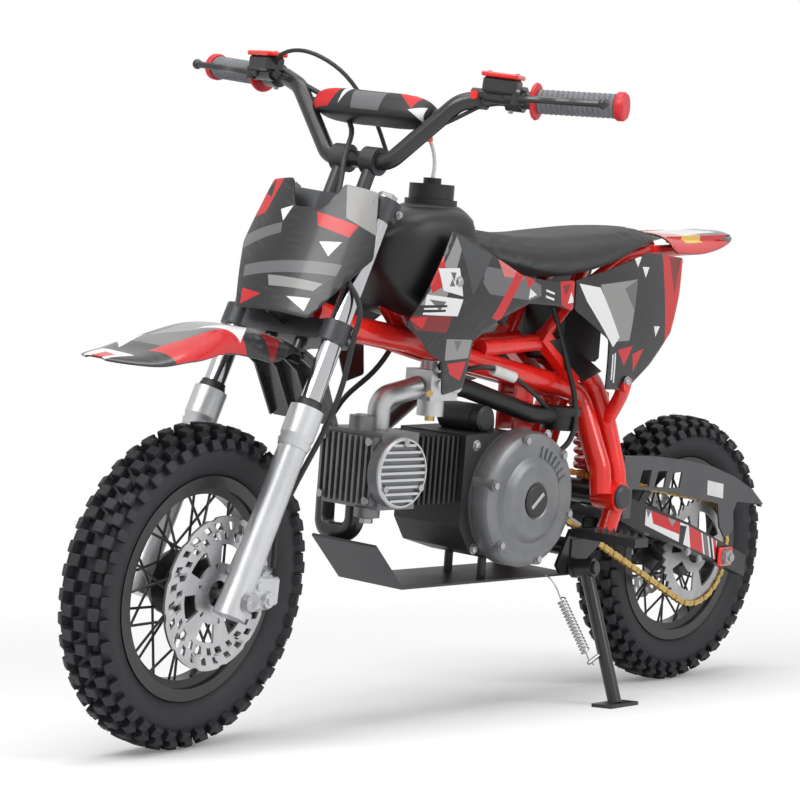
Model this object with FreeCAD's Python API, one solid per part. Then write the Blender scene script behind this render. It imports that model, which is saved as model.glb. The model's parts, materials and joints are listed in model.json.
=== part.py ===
"""Small dirt bike with 10 inch wheels, parked on its side stand.

Every piece is drawn with the bike upright and steered straight: +X forward, +Y to the left, +Z up, the origin on
the floor midway between the axles, in millimetres. place_parked() then turns the front end, leans the whole bike
on to its side stand and puts the origin at the middle of its footprint.
"""
import FreeCAD, Part
import math
import os
from FreeCAD import Placement, Rotation, Vector

# Chassis layout
WHEELBASE = 1000.0
STEER_RAKE_DEG = 23.5
TRAIL = 67.0
PARKED_LEAN_DEG = 5.95
PARKED_STEER_DEG = 6.9

# Tyres and wheels
TYRE_OD = 403.0
TYRE_WIDTH = 73.0
LUG_HEIGHT = 8.5
RIM_SEAT_RADIUS = 127.0
RIM_FLANGE_RADIUS = 139.0
RIM_WIDTH = 42.0
RIM_WALL = 3.0
HUB_RADIUS = 24.0
HUB_FLANGE_RADIUS = 40.0
HUB_WIDTH = 56.0
HUB_FLANGE_WALL = 5.0
SPOKE_COUNT = 36
SPOKE_RADIUS = 1.7
AXLE_RADIUS = 6.0
SHAFT_CLEARANCE = 0.3
SEAT_GAP = 0.3

# Brakes and chain drive
FRONT_DISC_RADIUS = 95.0
REAR_DISC_RADIUS = 85.0
DISC_WALL = 3.5
FRONT_DISC_Y = 44.0
REAR_DISC_Y = -50.0
MOVING_GAP = 5.2
CHAIN_PITCH = 12.7
CHAIN_WIDTH = 9.0
CHAIN_Y = TYRE_WIDTH / 2 + MOVING_GAP + CHAIN_WIDTH / 2
CHAIN_HEIGHT = 9.0
REAR_TEETH = 39
DRIVE_TEETH = 14
DRIVE_SPROCKET_X = -150.0
DRIVE_SPROCKET_Z = 306.0
SPROCKET_WALL = 5.0

# Fork and bars
FORK_SPACING = 154.8
LOWER_LEG_RADIUS = 18.2
COLLAR_RADIUS = 21.5
STANCHION_RADIUS = 13.5
LEG_BOTTOM_Q = -22.0
LEG_TOP_Q = 248.0
LOWER_CLAMP_Q = 336.0
UPPER_CLAMP_Q = 505.0
CLAMP_HEIGHT = 26.0
LOWER_CLAMP_REACH = 27.0
UPPER_CLAMP_REACH = 27.0
FORK_TOP_Q = 534.0
HEAD_TUBE_RADIUS = 23.0
STEM_RADIUS = 14.0
BAR_RADIUS = 11.0
BAR_CLEARANCE = 0.1
BAR_CLAMP_Q = 589.5
BAR_CLAMP_AHEAD = 4.7
BRACE_X = 227.0
BRACE_Z = 803.0
BRACE_RADIUS = 7.0
GRIP_RADIUS = 15.0

# Frame
SPAR_RADIUS = 16.0
UPPER_TUBE_RADIUS = 15.0
PILLAR_RADIUS = 14.0
RAIL_RADIUS = 12.0
PIVOT_X = -243.0
PIVOT_Z = 298.0
PIVOT_BOSS_RADIUS = 21.0
PIVOT_BOSS_INNER_Y = 52.0
PIVOT_BOSS_OUTER_Y = 92.0
PIVOT_BOLT_RADIUS = 7.0
PILLAR_FOOT_Y = 74.0
BRACKET_WALL = 5.0
SEAT_RAIL_RADIUS = 9.0
PANEL_WALL = 3.0
PANEL_Y = 95.0

# Shock absorber, from the cross tube between the pillars down to the swingarm
SHOCK_TOP = Vector(-262.0, 0.0, 428.0)
SHOCK_FOOT = Vector(-286.0, 0.0, 314.0)
SHOCK_EYE_RADIUS = 10.0
SHOCK_BOLT_RADIUS = 4.0

# Engine
CRANK_X = -45.0
CRANK_Z = 300.0
CASE_LEFT_Y = 56.0
CASE_REAR_LEFT_Y = 36.0
CASE_RIGHT_Y = -62.0
CASE_BOTTOM_Z = 214.0
COVER_RADIUS = 94.0
COVER_OUTER_Y = 99.0
CYLINDER_AXIS_Z = 340.0
CYLINDER_BACK_X = 62.0
CYLINDER_FRONT_X = 152.0
HEAD_FRONT_X = 234.0
HEAD_HALF_HEIGHT = 50.0
SKID_PLATE_Z = 187.7
SKID_HALF_WIDTH = 57.0

# Side stand, in the upright bike
STAND_PIVOT = Vector(-190.0, 80.0, 198.0)
STAND_AXIS = Vector(-0.16, 0.96, 0.15)
STAND_FOLD_DEG = 90.0
STAND_BOSS_HALF = 14.0
STAND_PIN_RADIUS = 5.0
STAND_FOOT_PARKED = Vector(-184.0, 156.0, 0.0)
STAND_FOOT_WALL = 5.0

AXLE_Z = TYRE_OD / 2
FRONT_AXLE = Vector(WHEELBASE / 2, 0, AXLE_Z)
REAR_AXLE = Vector(-WHEELBASE / 2, 0, AXLE_Z)
RAKE = math.radians(STEER_RAKE_DEG)
STEER_AXIS = Vector(-math.sin(RAKE), 0, math.cos(RAKE))
STEER_AHEAD = Vector(math.cos(RAKE), 0, math.sin(RAKE))
FORK_OFFSET = AXLE_Z * math.sin(RAKE) - TRAIL * math.cos(RAKE)
STEER_FOOT = Vector(WHEELBASE / 2 + TRAIL, 0, 0)
ALONG_Y = Vector(0, 1, 0)


# Shape helpers

def box(x, y, z):
    """Box between the two values given for each axis."""
    return Part.makeBox(x[1] - x[0], y[1] - y[0], z[1] - z[0], Vector(x[0], y[0], z[0]))


def rod(start, end, radius):
    """Round bar from start to end."""
    start = Vector(*start)
    end = Vector(*end)
    return Part.makeCylinder(radius, (end - start).Length, start, end - start)


def cross_rod(x, z, y_low, y_high, radius):
    """Round bar along Y."""
    return rod((x, y_low, z), (x, y_high, z), radius)


def fuse(shapes):
    """One solid, or several that do not touch, from overlapping shapes."""
    shapes = list(shapes)
    if len(shapes) == 1:
        return shapes[0]
    return shapes[0].multiFuse(shapes[1:]).removeSplitter()


def mirror_y(shape):
    """The shape's twin on the other side of the bike's middle plane."""
    return shape.mirror(Vector(0, 0, 0), ALONG_Y)


def both_sides(shape):
    """The shape and its mirror twin as one shape."""
    return fuse([shape, mirror_y(shape)])


def path_wire(points, bend):
    """Straight runs through the points, with an arc of radius bend (or a list of radii) at each corner."""
    points = [Vector(*p) for p in points]
    bends = bend if isinstance(bend, (list, tuple)) else [bend] * (len(points) - 2)
    edges = []
    last = points[0]
    for before, corner, after, radius in zip(points, points[1:], points[2:], bends):
        come = (corner - before).normalize()
        leave = (after - corner).normalize()
        turn = come.getAngle(leave)
        cut = radius * math.tan(turn / 2)
        start = corner - come * cut
        end = corner + leave * cut
        inward = (leave - come).normalize()
        middle = corner + inward * (radius / math.cos(turn / 2) - radius)
        if (start - last).Length > 1e-6:
            edges.append(Part.LineSegment(last, start).toShape())
        edges.append(Part.Arc(start, middle, end).toShape())
        last = end
    edges.append(Part.LineSegment(last, points[-1]).toShape())
    return Part.Wire(edges)


def bent_tube(points, radius, bend):
    """Solid bar of round section along path_wire."""
    wire = path_wire(points, bend)
    first = wire.Edges[0]
    start = first.valueAt(first.FirstParameter)
    direction = first.tangentAt(first.FirstParameter)
    ring = Part.Wire([Part.Circle(start, direction, radius).toShape()])
    return wire.makePipeShell([ring], True, False)


def polygon_xz(points, y_low, y_high):
    """Flat plate whose outline lies in the XZ plane, from y_low to y_high."""
    corners = [Vector(x, y_low, z) for x, z in points]
    face = Part.Face(Part.makePolygon(corners + corners[:1]))
    return face.extrude(Vector(0, y_high - y_low, 0))


def turned(profile, centre):
    """Ring turned about the wheel axis: profile is a list of (y, radius), centre is on the axle."""
    corners = [Vector(centre.x, centre.y + y, centre.z + r) for y, r in profile]
    face = Part.Face(Part.makePolygon(corners + corners[:1]))
    return face.revolve(centre, ALONG_Y, 360)


def rounded_section(x, half_width, z_low, z_high, corner):
    """Wire of a rectangle with rounded corners in the plane across the bike at x."""
    y0, y1 = -half_width, half_width
    k = corner * (1 - math.sqrt(0.5))
    v = [
        Vector(x, y0 + corner, z_low), Vector(x, y1 - corner, z_low),
        Vector(x, y1 - k, z_low + k),
        Vector(x, y1, z_low + corner), Vector(x, y1, z_high - corner),
        Vector(x, y1 - k, z_high - k),
        Vector(x, y1 - corner, z_high), Vector(x, y0 + corner, z_high),
        Vector(x, y0 + k, z_high - k),
        Vector(x, y0, z_high - corner), Vector(x, y0, z_low + corner),
        Vector(x, y0 + k, z_low + k),
    ]
    edges = []
    for i in (0, 3, 6, 9):
        edges.append(Part.LineSegment(v[i], v[i + 1]).toShape())
        edges.append(Part.Arc(v[i + 1], v[i + 2], v[(i + 3) % 12]).toShape())
    return Part.Wire(edges)


def loft(wires):
    """Ruled solid through closed wires."""
    return Part.makeLoft(wires, True, True)


def fork_point(q, side=0.0, ahead=0.0):
    """Point in the fork's own grid: q up along the legs from the axle, ahead of the legs' plane."""
    base = FRONT_AXLE + STEER_AHEAD * ahead + STEER_AXIS * q
    return Vector(base.x, side, base.z)


def axis_point(q, side=0.0, ahead=0.0):
    """Like fork_point, counted from the steering axis instead of the legs' plane."""
    return fork_point(q, side, ahead - FORK_OFFSET)


# Wheels

def tyre(centre):
    """Tyre out to its lug tips, filled between its beads."""
    half = TYRE_WIDTH / 2
    outer = TYRE_OD / 2
    bead = RIM_WIDTH / 2 - RIM_WALL - SEAT_GAP
    right = [
        (bead, RIM_SEAT_RADIUS + SEAT_GAP),
        (bead, RIM_FLANGE_RADIUS + 2 * SEAT_GAP),
        (half - 9, RIM_FLANGE_RADIUS + 9),
        (half - 3, RIM_FLANGE_RADIUS + 24),
        (half, outer - 22),
        (half - 11, outer - 8),
        (half - 24, outer - 1.5),
    ]
    left = [(-y, r) for y, r in reversed(right)]
    return turned(right + [(0, outer)] + left, centre)


def rim(centre):
    """Drop centre rim with two flanges."""
    w = RIM_WIDTH / 2
    seat = RIM_SEAT_RADIUS
    profile = [
        (w, RIM_FLANGE_RADIUS), (w, seat - RIM_WALL), (w - 8, seat - RIM_WALL),
        (9, seat - 9 - RIM_WALL), (-9, seat - 9 - RIM_WALL), (8 - w, seat - RIM_WALL),
        (-w, seat - RIM_WALL), (-w, RIM_FLANGE_RADIUS), (RIM_WALL - w, RIM_FLANGE_RADIUS),
        (RIM_WALL - w, seat), (9 - w, seat), (-8, seat - 9), (8, seat - 9), (w - 9, seat),
        (w - RIM_WALL, seat), (w - RIM_WALL, RIM_FLANGE_RADIUS),
    ]
    return turned(profile, centre)


def spokes(centre):
    """Crossed spokes from the hub flanges to the rim's well, each a slim bar."""
    inner = HUB_FLANGE_RADIUS - 4
    outer = RIM_SEAT_RADIUS - 9 - RIM_WALL + 1
    flange_y = HUB_WIDTH / 2 - HUB_FLANGE_WALL / 2
    sweep = math.radians(44)
    bars = []
    for i in range(SPOKE_COUNT):
        side = 1 if i % 2 else -1
        lean = sweep if (i // 2) % 2 else -sweep
        tip = 2 * math.pi * i / SPOKE_COUNT
        root = tip + lean
        start = centre + Vector(inner * math.sin(root), side * flange_y, inner * math.cos(root))
        end = centre + Vector(outer * math.sin(tip), side * 4.0, outer * math.cos(tip))
        bars.append(rod(start, end, SPOKE_RADIUS))
    return bars


def hub(centre, left_y, right_y):
    """Hub barrel with two spoke flanges, and bosses out to left_y and right_y for disc and sprocket."""
    w = HUB_WIDTH / 2
    f = HUB_FLANGE_WALL
    bore = AXLE_RADIUS + SHAFT_CLEARANCE
    profile = [
        (right_y, bore), (right_y, HUB_RADIUS), (-w, HUB_RADIUS + 2), (-w, HUB_FLANGE_RADIUS),
        (f - w, HUB_FLANGE_RADIUS), (2 * f - w, HUB_RADIUS), (w - 2 * f, HUB_RADIUS),
        (w - f, HUB_FLANGE_RADIUS), (w, HUB_FLANGE_RADIUS), (w, HUB_RADIUS + 2),
        (left_y, HUB_RADIUS), (left_y, bore),
    ]
    return turned(profile, centre)


def wire_wheel(centre, left_y, right_y):
    """Rim, spokes and hub as one piece."""
    return fuse([rim(centre), hub(centre, left_y, right_y)] + spokes(centre))


def brake_disc(centre, y, radius):
    """Disc with its carrier, lightened by two rings of holes."""
    low = y - DISC_WALL / 2
    ring = turned([(low, 12), (low, radius), (low + DISC_WALL, radius), (low + DISC_WALL, 12)], centre)
    cuts = []
    count = 6
    for i in range(count):
        a = 2 * math.pi * i / count
        p = centre + Vector(math.sin(a), 0, math.cos(a)) * (radius * 0.47)
        cuts.append(cross_rod(p.x, p.z, low - 1, low + DISC_WALL + 1, radius * 0.13))
    return ring.cut(fuse(cuts))


def sprocket(centre, y, teeth, bore):
    """Flat chain wheel with one tooth per chain roller."""
    pitch_radius = CHAIN_PITCH / (2 * math.sin(math.pi / teeth))
    low = y - SPROCKET_WALL / 2
    root = pitch_radius - CHAIN_HEIGHT / 2 - SEAT_GAP
    return turned([(low, bore), (low, root), (low + SPROCKET_WALL, root), (low + SPROCKET_WALL, bore)], centre)


def front_wheel():
    """Everything that turns on the front axle."""
    return {
        "front_tyre": tyre(FRONT_AXLE),
        "front_wheel": wire_wheel(FRONT_AXLE, FRONT_DISC_Y - DISC_WALL / 2 - SEAT_GAP, -46),
        "front_disc": brake_disc(FRONT_AXLE, FRONT_DISC_Y, FRONT_DISC_RADIUS),
    }


def rear_wheel():
    """Everything that turns on the rear axle."""
    left = CHAIN_Y - SPROCKET_WALL / 2 - SEAT_GAP
    right = REAR_DISC_Y + DISC_WALL / 2 + SEAT_GAP
    return {
        "rear_tyre": tyre(REAR_AXLE),
        "rear_wheel": wire_wheel(REAR_AXLE, left, right),
        "rear_disc": brake_disc(REAR_AXLE, REAR_DISC_Y, REAR_DISC_RADIUS),
        "rear_sprocket": sprocket(REAR_AXLE, CHAIN_Y, REAR_TEETH, 12),
    }


# Fork, bars and all that steers

def fork_clamp(q, ahead_reach):
    """Triple clamp: a waisted plate that grips both stanchions and the stem."""
    leg_y = FORK_SPACING / 2
    middle = Part.makeCylinder(26, CLAMP_HEIGHT, axis_point(q), STEER_AXIS)
    ears = [
        Part.makeCylinder(STANCHION_RADIUS + 7, CLAMP_HEIGHT, fork_point(q, side), STEER_AXIS)
        for side in (-leg_y, leg_y)
    ]
    corners = [
        axis_point(q, -20, -18), axis_point(q, 20, -18), fork_point(q, leg_y, -14),
        fork_point(q, leg_y, 14), axis_point(q, 20, ahead_reach), axis_point(q, -20, ahead_reach),
        fork_point(q, -leg_y, 14), fork_point(q, -leg_y, -14),
    ]
    web = Part.Face(Part.makePolygon(corners + corners[:1])).extrude(STEER_AXIS * CLAMP_HEIGHT)
    bores = [
        Part.makeCylinder(STANCHION_RADIUS + SHAFT_CLEARANCE, CLAMP_HEIGHT + 4, fork_point(q - 2, side), STEER_AXIS)
        for side in (-leg_y, leg_y)
    ]
    return fuse([middle, web] + ears).cut(fuse(bores))


def triple_clamps():
    """Lower and upper clamp on one stem."""
    stem_start = axis_point(LOWER_CLAMP_Q + CLAMP_HEIGHT - 1)
    stem = Part.makeCylinder(STEM_RADIUS, UPPER_CLAMP_Q - LOWER_CLAMP_Q - CLAMP_HEIGHT + 2, stem_start, STEER_AXIS)
    nut = Part.makeCylinder(15, 10, axis_point(UPPER_CLAMP_Q + CLAMP_HEIGHT - 1), STEER_AXIS)
    lower = fork_clamp(LOWER_CLAMP_Q, LOWER_CLAMP_REACH)
    upper = fork_clamp(UPPER_CLAMP_Q, UPPER_CLAMP_REACH)
    return fuse([lower, upper, stem, nut])


def fork_tube(side):
    """Chrome stanchion of one leg."""
    start = fork_point(LEG_TOP_Q - 60, side)
    return Part.makeCylinder(STANCHION_RADIUS, FORK_TOP_Q - LEG_TOP_Q + 60, start, STEER_AXIS)


def fork_lower(side):
    """Lower leg with its collar, blind bore and axle hole."""
    body = Part.makeCylinder(LOWER_LEG_RADIUS, LEG_TOP_Q - LEG_BOTTOM_Q, fork_point(LEG_BOTTOM_Q, side), STEER_AXIS)
    collar = Part.makeCylinder(COLLAR_RADIUS, 36, fork_point(LEG_TOP_Q - 36, side), STEER_AXIS)
    taper = Part.makeCone(LOWER_LEG_RADIUS, COLLAR_RADIUS, 10, fork_point(LEG_TOP_Q - 46, side), STEER_AXIS)
    bore = Part.makeCylinder(STANCHION_RADIUS + SHAFT_CLEARANCE, 64, fork_point(LEG_TOP_Q - 61, side), STEER_AXIS)
    return fuse([body, collar, taper]).cut(bore)


def handlebar_points(side):
    """Centre line of half the bar, outwards from the clamp."""
    middle = axis_point(BAR_CLAMP_Q, side * 48, BAR_CLAMP_AHEAD)
    return [
        tuple(middle), (226, side * 128, 822), (205, side * 172, 834),
        (192, side * 217, 833), (163, side * 329, 838),
    ]


def bar_line(radius):
    """Bent tube along the whole handlebar."""
    points = handlebar_points(-1)[::-1] + handlebar_points(1)
    return bent_tube(points, radius, [60, 40, 40, 30, 30, 40, 40, 60])


def handlebar():
    """One bent tube with its cross brace."""
    brace = cross_rod(BRACE_X, BRACE_Z, -108, 108, BRACE_RADIUS)
    return fuse([bar_line(BAR_RADIUS), brace])


def bar_clamps():
    """Two risers that hold the bar on the upper clamp."""
    parts = []
    for side in (-24, 24):
        foot = axis_point(UPPER_CLAMP_Q + CLAMP_HEIGHT + SEAT_GAP, side, BAR_CLAMP_AHEAD)
        head = axis_point(BAR_CLAMP_Q, side, BAR_CLAMP_AHEAD)
        riser = Part.makeCylinder(9, (head - foot).Length, foot, head - foot)
        block = Part.makeCylinder(18, 22, head - ALONG_Y * 11, ALONG_Y)
        bore = Part.makeCylinder(BAR_RADIUS + BAR_CLEARANCE, 30, head - ALONG_Y * 15, ALONG_Y)
        parts.append(fuse([riser, block]).cut(bore))
    return fuse(parts)


def bar_pad():
    """Foam pad round the cross brace."""
    body = box((203, 251), (-92, 92), (784, 824))
    body = body.makeFillet(14, [e for e in body.Edges if abs(e.tangentAt(e.FirstParameter).y) > 0.9])
    brace = cross_rod(BRACE_X, BRACE_Z, -95, 95, BRACE_RADIUS + SEAT_GAP)
    return body.cut(fuse([brace, bar_line(BAR_RADIUS + SEAT_GAP)]))


def grips():
    """Hand grips with their inner flange and end ring."""
    parts = []
    for side in (-1, 1):
        inner = Vector(192, side * 217, 833)
        outer = Vector(163, side * 329, 838)
        run = (outer - inner).normalize()
        length = (outer - inner).Length + 4
        grip = Part.makeCylinder(GRIP_RADIUS, length, inner, run)
        flange = Part.makeCylinder(24, 4, inner, run)
        cap = Part.makeCylinder(GRIP_RADIUS + 2.5, 9, inner + run * (length - 9), run)
        parts.append(fuse([grip, flange, cap]).cut(bar_line(BAR_RADIUS + BAR_CLEARANCE)))
    return fuse(parts)


def bar_control(side):
    """Brake lever, its perch and its fluid reservoir."""
    perch = rod((203, side * 172, 836), (194, side * 205, 834), 17)
    arm = polygon_xz([(195, 828), (240, 826), (240, 842), (195, 844)], 0, 26)
    arm = arm.translated(Vector(0, side * 190 - 13, 0))
    reservoir = box((206, 250), (side * 168 - 24, side * 168 + 24), (840, 866))
    lever = bent_tube(
        [(234, side * 196, 834), (240, side * 225, 833), (214, side * 320, 836)], 5, 30
    )
    return fuse([perch, arm, reservoir, lever]).cut(bar_line(BAR_RADIUS + BAR_CLEARANCE))


def number_plate():
    """Curved front plate, blank."""
    outline = [(-58, 335), (58, 335), (82, 396), (97, 436), (82, 476), (60, 521), (-60, 521), (-82, 476),
               (-97, 436), (-82, 396)]
    corners = [axis_point(q, y, -20) for y, q in outline]
    prism = Part.Face(Part.makePolygon(corners + corners[:1])).extrude(STEER_AHEAD * 100)
    radius = 220.0
    centre = axis_point(320, 0, 55 - radius)
    outer = Part.makeCylinder(radius, 230, centre, STEER_AXIS)
    inner = Part.makeCylinder(radius - PANEL_WALL, 230, centre, STEER_AXIS)
    sheet = prism.common(outer.cut(inner))
    pegs = [
        rod(axis_point(q, 0, reach + SEAT_GAP), axis_point(q, 0, 53), 5)
        for q, reach in ((LOWER_CLAMP_Q + 13, LOWER_CLAMP_REACH), (UPPER_CLAMP_Q + 9, UPPER_CLAMP_REACH))
    ]
    return fuse([sheet] + pegs)


def shell_section(x, half_width, z_top, drop, wall):
    """Inverted tray outline across the bike at x."""
    h = half_width
    points = [
        (-h, z_top - drop), (-h * 0.75, z_top - drop * 0.25), (-h * 0.3, z_top), (h * 0.3, z_top),
        (h * 0.75, z_top - drop * 0.25), (h, z_top - drop),
    ]
    inner = [(y * (1 - wall / h), z - wall) for y, z in reversed(points)]
    corners = [Vector(x, y, z) for y, z in points + inner]
    return Part.makePolygon(corners + corners[:1])


FENDER_SECTIONS = (
    # x, half width, top height, side drop
    (655, 40, 474, 8),
    (625, 60, 488, 16),
    (560, 68, 514, 24),
    (500, 66, 524, 26),
    (430, 60, 514, 22),
    (380, 56, 495, 14),
)


def front_fender():
    """High front fender that hangs under the lower clamp, with its rear flap."""
    shell = loft([shell_section(x, w, z, d, PANEL_WALL) for x, w, z, d in FENDER_SECTIONS])
    flap = polygon_xz([(384, 497), (384, 493), (345, 478), (301, 402), (298, 403), (342, 482)], -52, 52)
    length = 30.0
    bosses = [
        Part.makeCylinder(8, length, axis_point(LOWER_CLAMP_Q - SEAT_GAP - length, side, 6), STEER_AXIS)
        for side in (-24, 24)
    ]
    return fuse([shell, flap] + bosses)


def front_caliper():
    """Two piston caliper behind the left leg, with the bracket that holds it to the leg."""
    at = fork_point(20, 0, -60)
    y0 = FRONT_DISC_Y
    body = box((at.x - 42, at.x + 16), (y0 - 12, y0 + 14), (at.z - 30, at.z + 26))
    slot = box((at.x - 36, at.x + 40), (y0 - DISC_WALL / 2 - 1.5, y0 + DISC_WALL / 2 + 1.5), (at.z - 40, at.z + 40))
    leg_inner = FORK_SPACING / 2 - LOWER_LEG_RADIUS - SEAT_GAP
    plate = rod(fork_point(20, leg_inner - 6, -66), fork_point(20, leg_inner - 6, 8), 13)
    plate = plate.common(box((at.x - 60, at.x + 120), (leg_inner - 6, leg_inner), (0, 400)))
    return fuse([body.cut(slot), plate])


def steering():
    """Everything on the steering axis apart from the front wheel."""
    leg_y = FORK_SPACING / 2
    return {
        "triple_clamps": triple_clamps(),
        "fork_tubes": fuse([fork_tube(leg_y), fork_tube(-leg_y)]),
        "fork_lowers": fuse([fork_lower(leg_y), fork_lower(-leg_y)]).cut(
            cross_rod(FRONT_AXLE.x, FRONT_AXLE.z, -120, 120, AXLE_RADIUS + SHAFT_CLEARANCE)
        ),
        "front_axle": fuse([
            cross_rod(FRONT_AXLE.x, FRONT_AXLE.z, -leg_y - 28, leg_y + 24, AXLE_RADIUS),
            cross_rod(FRONT_AXLE.x, FRONT_AXLE.z, leg_y + LOWER_LEG_RADIUS + SEAT_GAP, leg_y + 27, 11),
            cross_rod(FRONT_AXLE.x, FRONT_AXLE.z, -leg_y - 30, -leg_y - LOWER_LEG_RADIUS - SEAT_GAP, 11),
        ]),
        "handlebar": handlebar(),
        "bar_clamps": bar_clamps(),
        "bar_pad": bar_pad(),
        "grips": grips(),
        "hand_controls": fuse([bar_control(1), bar_control(-1)]),
        "number_plate": number_plate(),
        "front_fender": front_fender(),
        "front_caliper": front_caliper(),
    }


# Frame

def spar(side):
    """One of the two main tubes: head tube, over the engine, and down to the swingarm pivot."""
    s = side
    points = [
        (330, s * 16, 542), (250, s * 20, 521), (150, s * 21, 508), (30, s * 21, 483),
        (-150, s * 21, 453), (-212, s * 23, 441), (-219, s * 68, 337), (-216, s * 76, 300),
    ]
    return bent_tube(points, SPAR_RADIUS, [120, 200, 300, 200, 28, 60])


def pillar(side):
    """Rear tube behind the spar, down to the footpeg bracket."""
    s = side
    points = [
        (-196, s * 28, 486), (-240, s * 29, 452), (-254, s * 46, 400), (-258, s * 68, 331),
        (-257, s * PILLAR_FOOT_Y, 298), (-238, s * PILLAR_FOOT_Y, 248),
    ]
    return bent_tube(points, PILLAR_RADIUS, [30, 80, 60, 40])


def upper_tube(radius):
    """Short brace from the top of the head tube down to the spars."""
    return bent_tube([(296, 0, 622), (215, 0, 598), (140, 0, 520)], radius, 60)


def frame_main():
    """Head tube, twin spars, rear pillars, swingarm bosses and engine hanger."""
    low = axis_point(LOWER_CLAMP_Q + CLAMP_HEIGHT + 0.5)
    high = axis_point(UPPER_CLAMP_Q - 0.5)
    head = Part.makeCylinder(HEAD_TUBE_RADIUS, (high - low).Length, low, STEER_AXIS)
    bore = Part.makeCylinder(STEM_RADIUS + SHAFT_CLEARANCE, (high - low).Length + 4, low - STEER_AXIS * 2, STEER_AXIS)
    pieces = [head, upper_tube(UPPER_TUBE_RADIUS)]
    for side in (-1, 1):
        pieces.append(spar(side))
        pieces.append(pillar(side))
        ys = sorted((side * PIVOT_BOSS_INNER_Y, side * PIVOT_BOSS_OUTER_Y))
        pieces.append(cross_rod(PIVOT_X, PIVOT_Z, ys[0], ys[1], PIVOT_BOSS_RADIUS))
        hanger = sorted((side * 12, side * 17))
        pieces.append(polygon_xz([(-122, 452), (-122, 385), (-84, 385), (-84, 460)], hanger[0], hanger[1]))
    pieces.append(box((-122, -84), (-17, 17), (430, 436)))
    for ys in ((-34, -SHOCK_EYE_RADIUS - SEAT_GAP), (SHOCK_EYE_RADIUS + SEAT_GAP, 34)):
        ear = polygon_xz([(-240, 452), (-272, 440), (-274, 418), (-254, 418), (-240, 430)], ys[0], ys[1])
        pieces.append(ear.cut(cross_rod(SHOCK_TOP.x, SHOCK_TOP.z, -40, 40, SHOCK_BOLT_RADIUS + SHAFT_CLEARANCE)))
    body = fuse(pieces).cut(bore)
    return body.cut(cross_rod(PIVOT_X, PIVOT_Z, -100, 100, PIVOT_BOLT_RADIUS + SHAFT_CLEARANCE))


def section_value(table, x, column):
    """Value of one column of a section table at x, in line between its rows."""
    for row, after in zip(table, table[1:]):
        if after[0] <= x <= row[0]:
            share = (row[0] - x) / (row[0] - after[0])
            return row[column] + (after[column] - row[column]) * share
    raise ValueError(x)


def seat_rail_height(x):
    """Height of a seat rail's centre line where it runs close under the seat."""
    step = 10.0
    rise = (section_value(SEAT_SECTIONS, x - step, 2) - section_value(SEAT_SECTIONS, x, 2)) / step
    return section_value(SEAT_SECTIONS, x, 2) - (SEAT_RAIL_RADIUS + SEAT_GAP) * math.hypot(1, rise)


def subframe(main_frame):
    """Upper rails, gusset boxes, seat rails and the struts that carry the side panels."""
    pieces = []
    for s in (-1, 1):
        pieces.append(bent_tube([(10, s * 24, 500), (-60, s * 26, 506), (-126, s * 28, 512)], RAIL_RADIUS, 200))
        gusset = polygon_xz([(-108, 528), (-190, 468), (-178, 452), (-96, 512)], 26, 46)
        pieces.append(gusset if s > 0 else mirror_y(gusset))
        pieces.append(bent_tube(
            [(-110, s * 30, 514), (-160, s * 42, 575), (-265, s * 46, seat_rail_height(-265)),
             (-320, s * 46, seat_rail_height(-320)), (-440, s * 40, 654)], SEAT_RAIL_RADIUS, [40, 60, 100]
        ))
        pieces.append(bent_tube([(-252, s * 47, 398), (-240, s * 84, 450), (-300, s * 46, 632)], 10, 40))
        ys = sorted((s * 76, s * (PANEL_Y - SEAT_GAP)))
        pieces.append(cross_rod(-232, 455, ys[0], ys[1], 8))
    return fuse(pieces).cut(main_frame)


BRACKET_OUTER_Y = PILLAR_FOOT_Y - PILLAR_RADIUS - SEAT_GAP


def footpeg_bracket():
    """Cross tube under the engine with the footpeg and side stand mounts."""
    tube = cross_rod(-200, 221, -BRACKET_OUTER_Y, BRACKET_OUTER_Y, 13)
    plates = [
        polygon_xz(
            [(-246, 250), (-246, 226), (-190, SKID_PLATE_Z + SEAT_GAP), (-160, SKID_PLATE_Z + SEAT_GAP), (-150, 200),
             (-176, 250)], y, y + BRACKET_WALL
        )
        for y in (BRACKET_OUTER_Y - BRACKET_WALL, -BRACKET_OUTER_Y)
    ]
    axis = Vector(STAND_AXIS).normalize()
    reach = STAND_BOSS_HALF + SEAT_GAP
    lug = Part.makeCylinder(14, 6, STAND_PIVOT - axis * (reach + 6), axis)
    arm = box((-204, -178), (BRACKET_OUTER_Y - 1, 62), (196, 236))
    pin = Part.makeCylinder(STAND_PIN_RADIUS, 2 * reach + 6, STAND_PIVOT - axis * (reach + 6), axis)
    head = Part.makeCylinder(9, 4, STAND_PIVOT + axis * reach, axis)
    return fuse([tube, lug, arm, pin, head] + plates)


def footpegs():
    """Pair of footpegs."""
    inner = BRACKET_OUTER_Y + SEAT_GAP
    return both_sides(box((-206, -176), (inner, 172), (240, 252)))


ARM_END_Y = 88.0
ARM_LUG_Y = 63.4 + 2 * SEAT_GAP
ARM_END_HALF_WIDTH = 10.0
ARM_SECTIONS = (
    # x, y, z, half height, half width
    (PIVOT_X + 8, 37, PIVOT_Z, 18, 11),
    (-270, 38, 287, 19, 11),
    (-310, 56, 268, 20, 11),
    (-405, 85, 237, 19, ARM_END_HALF_WIDTH),
    (-560, ARM_END_Y, 184, 16, ARM_END_HALF_WIDTH),
)


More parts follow.
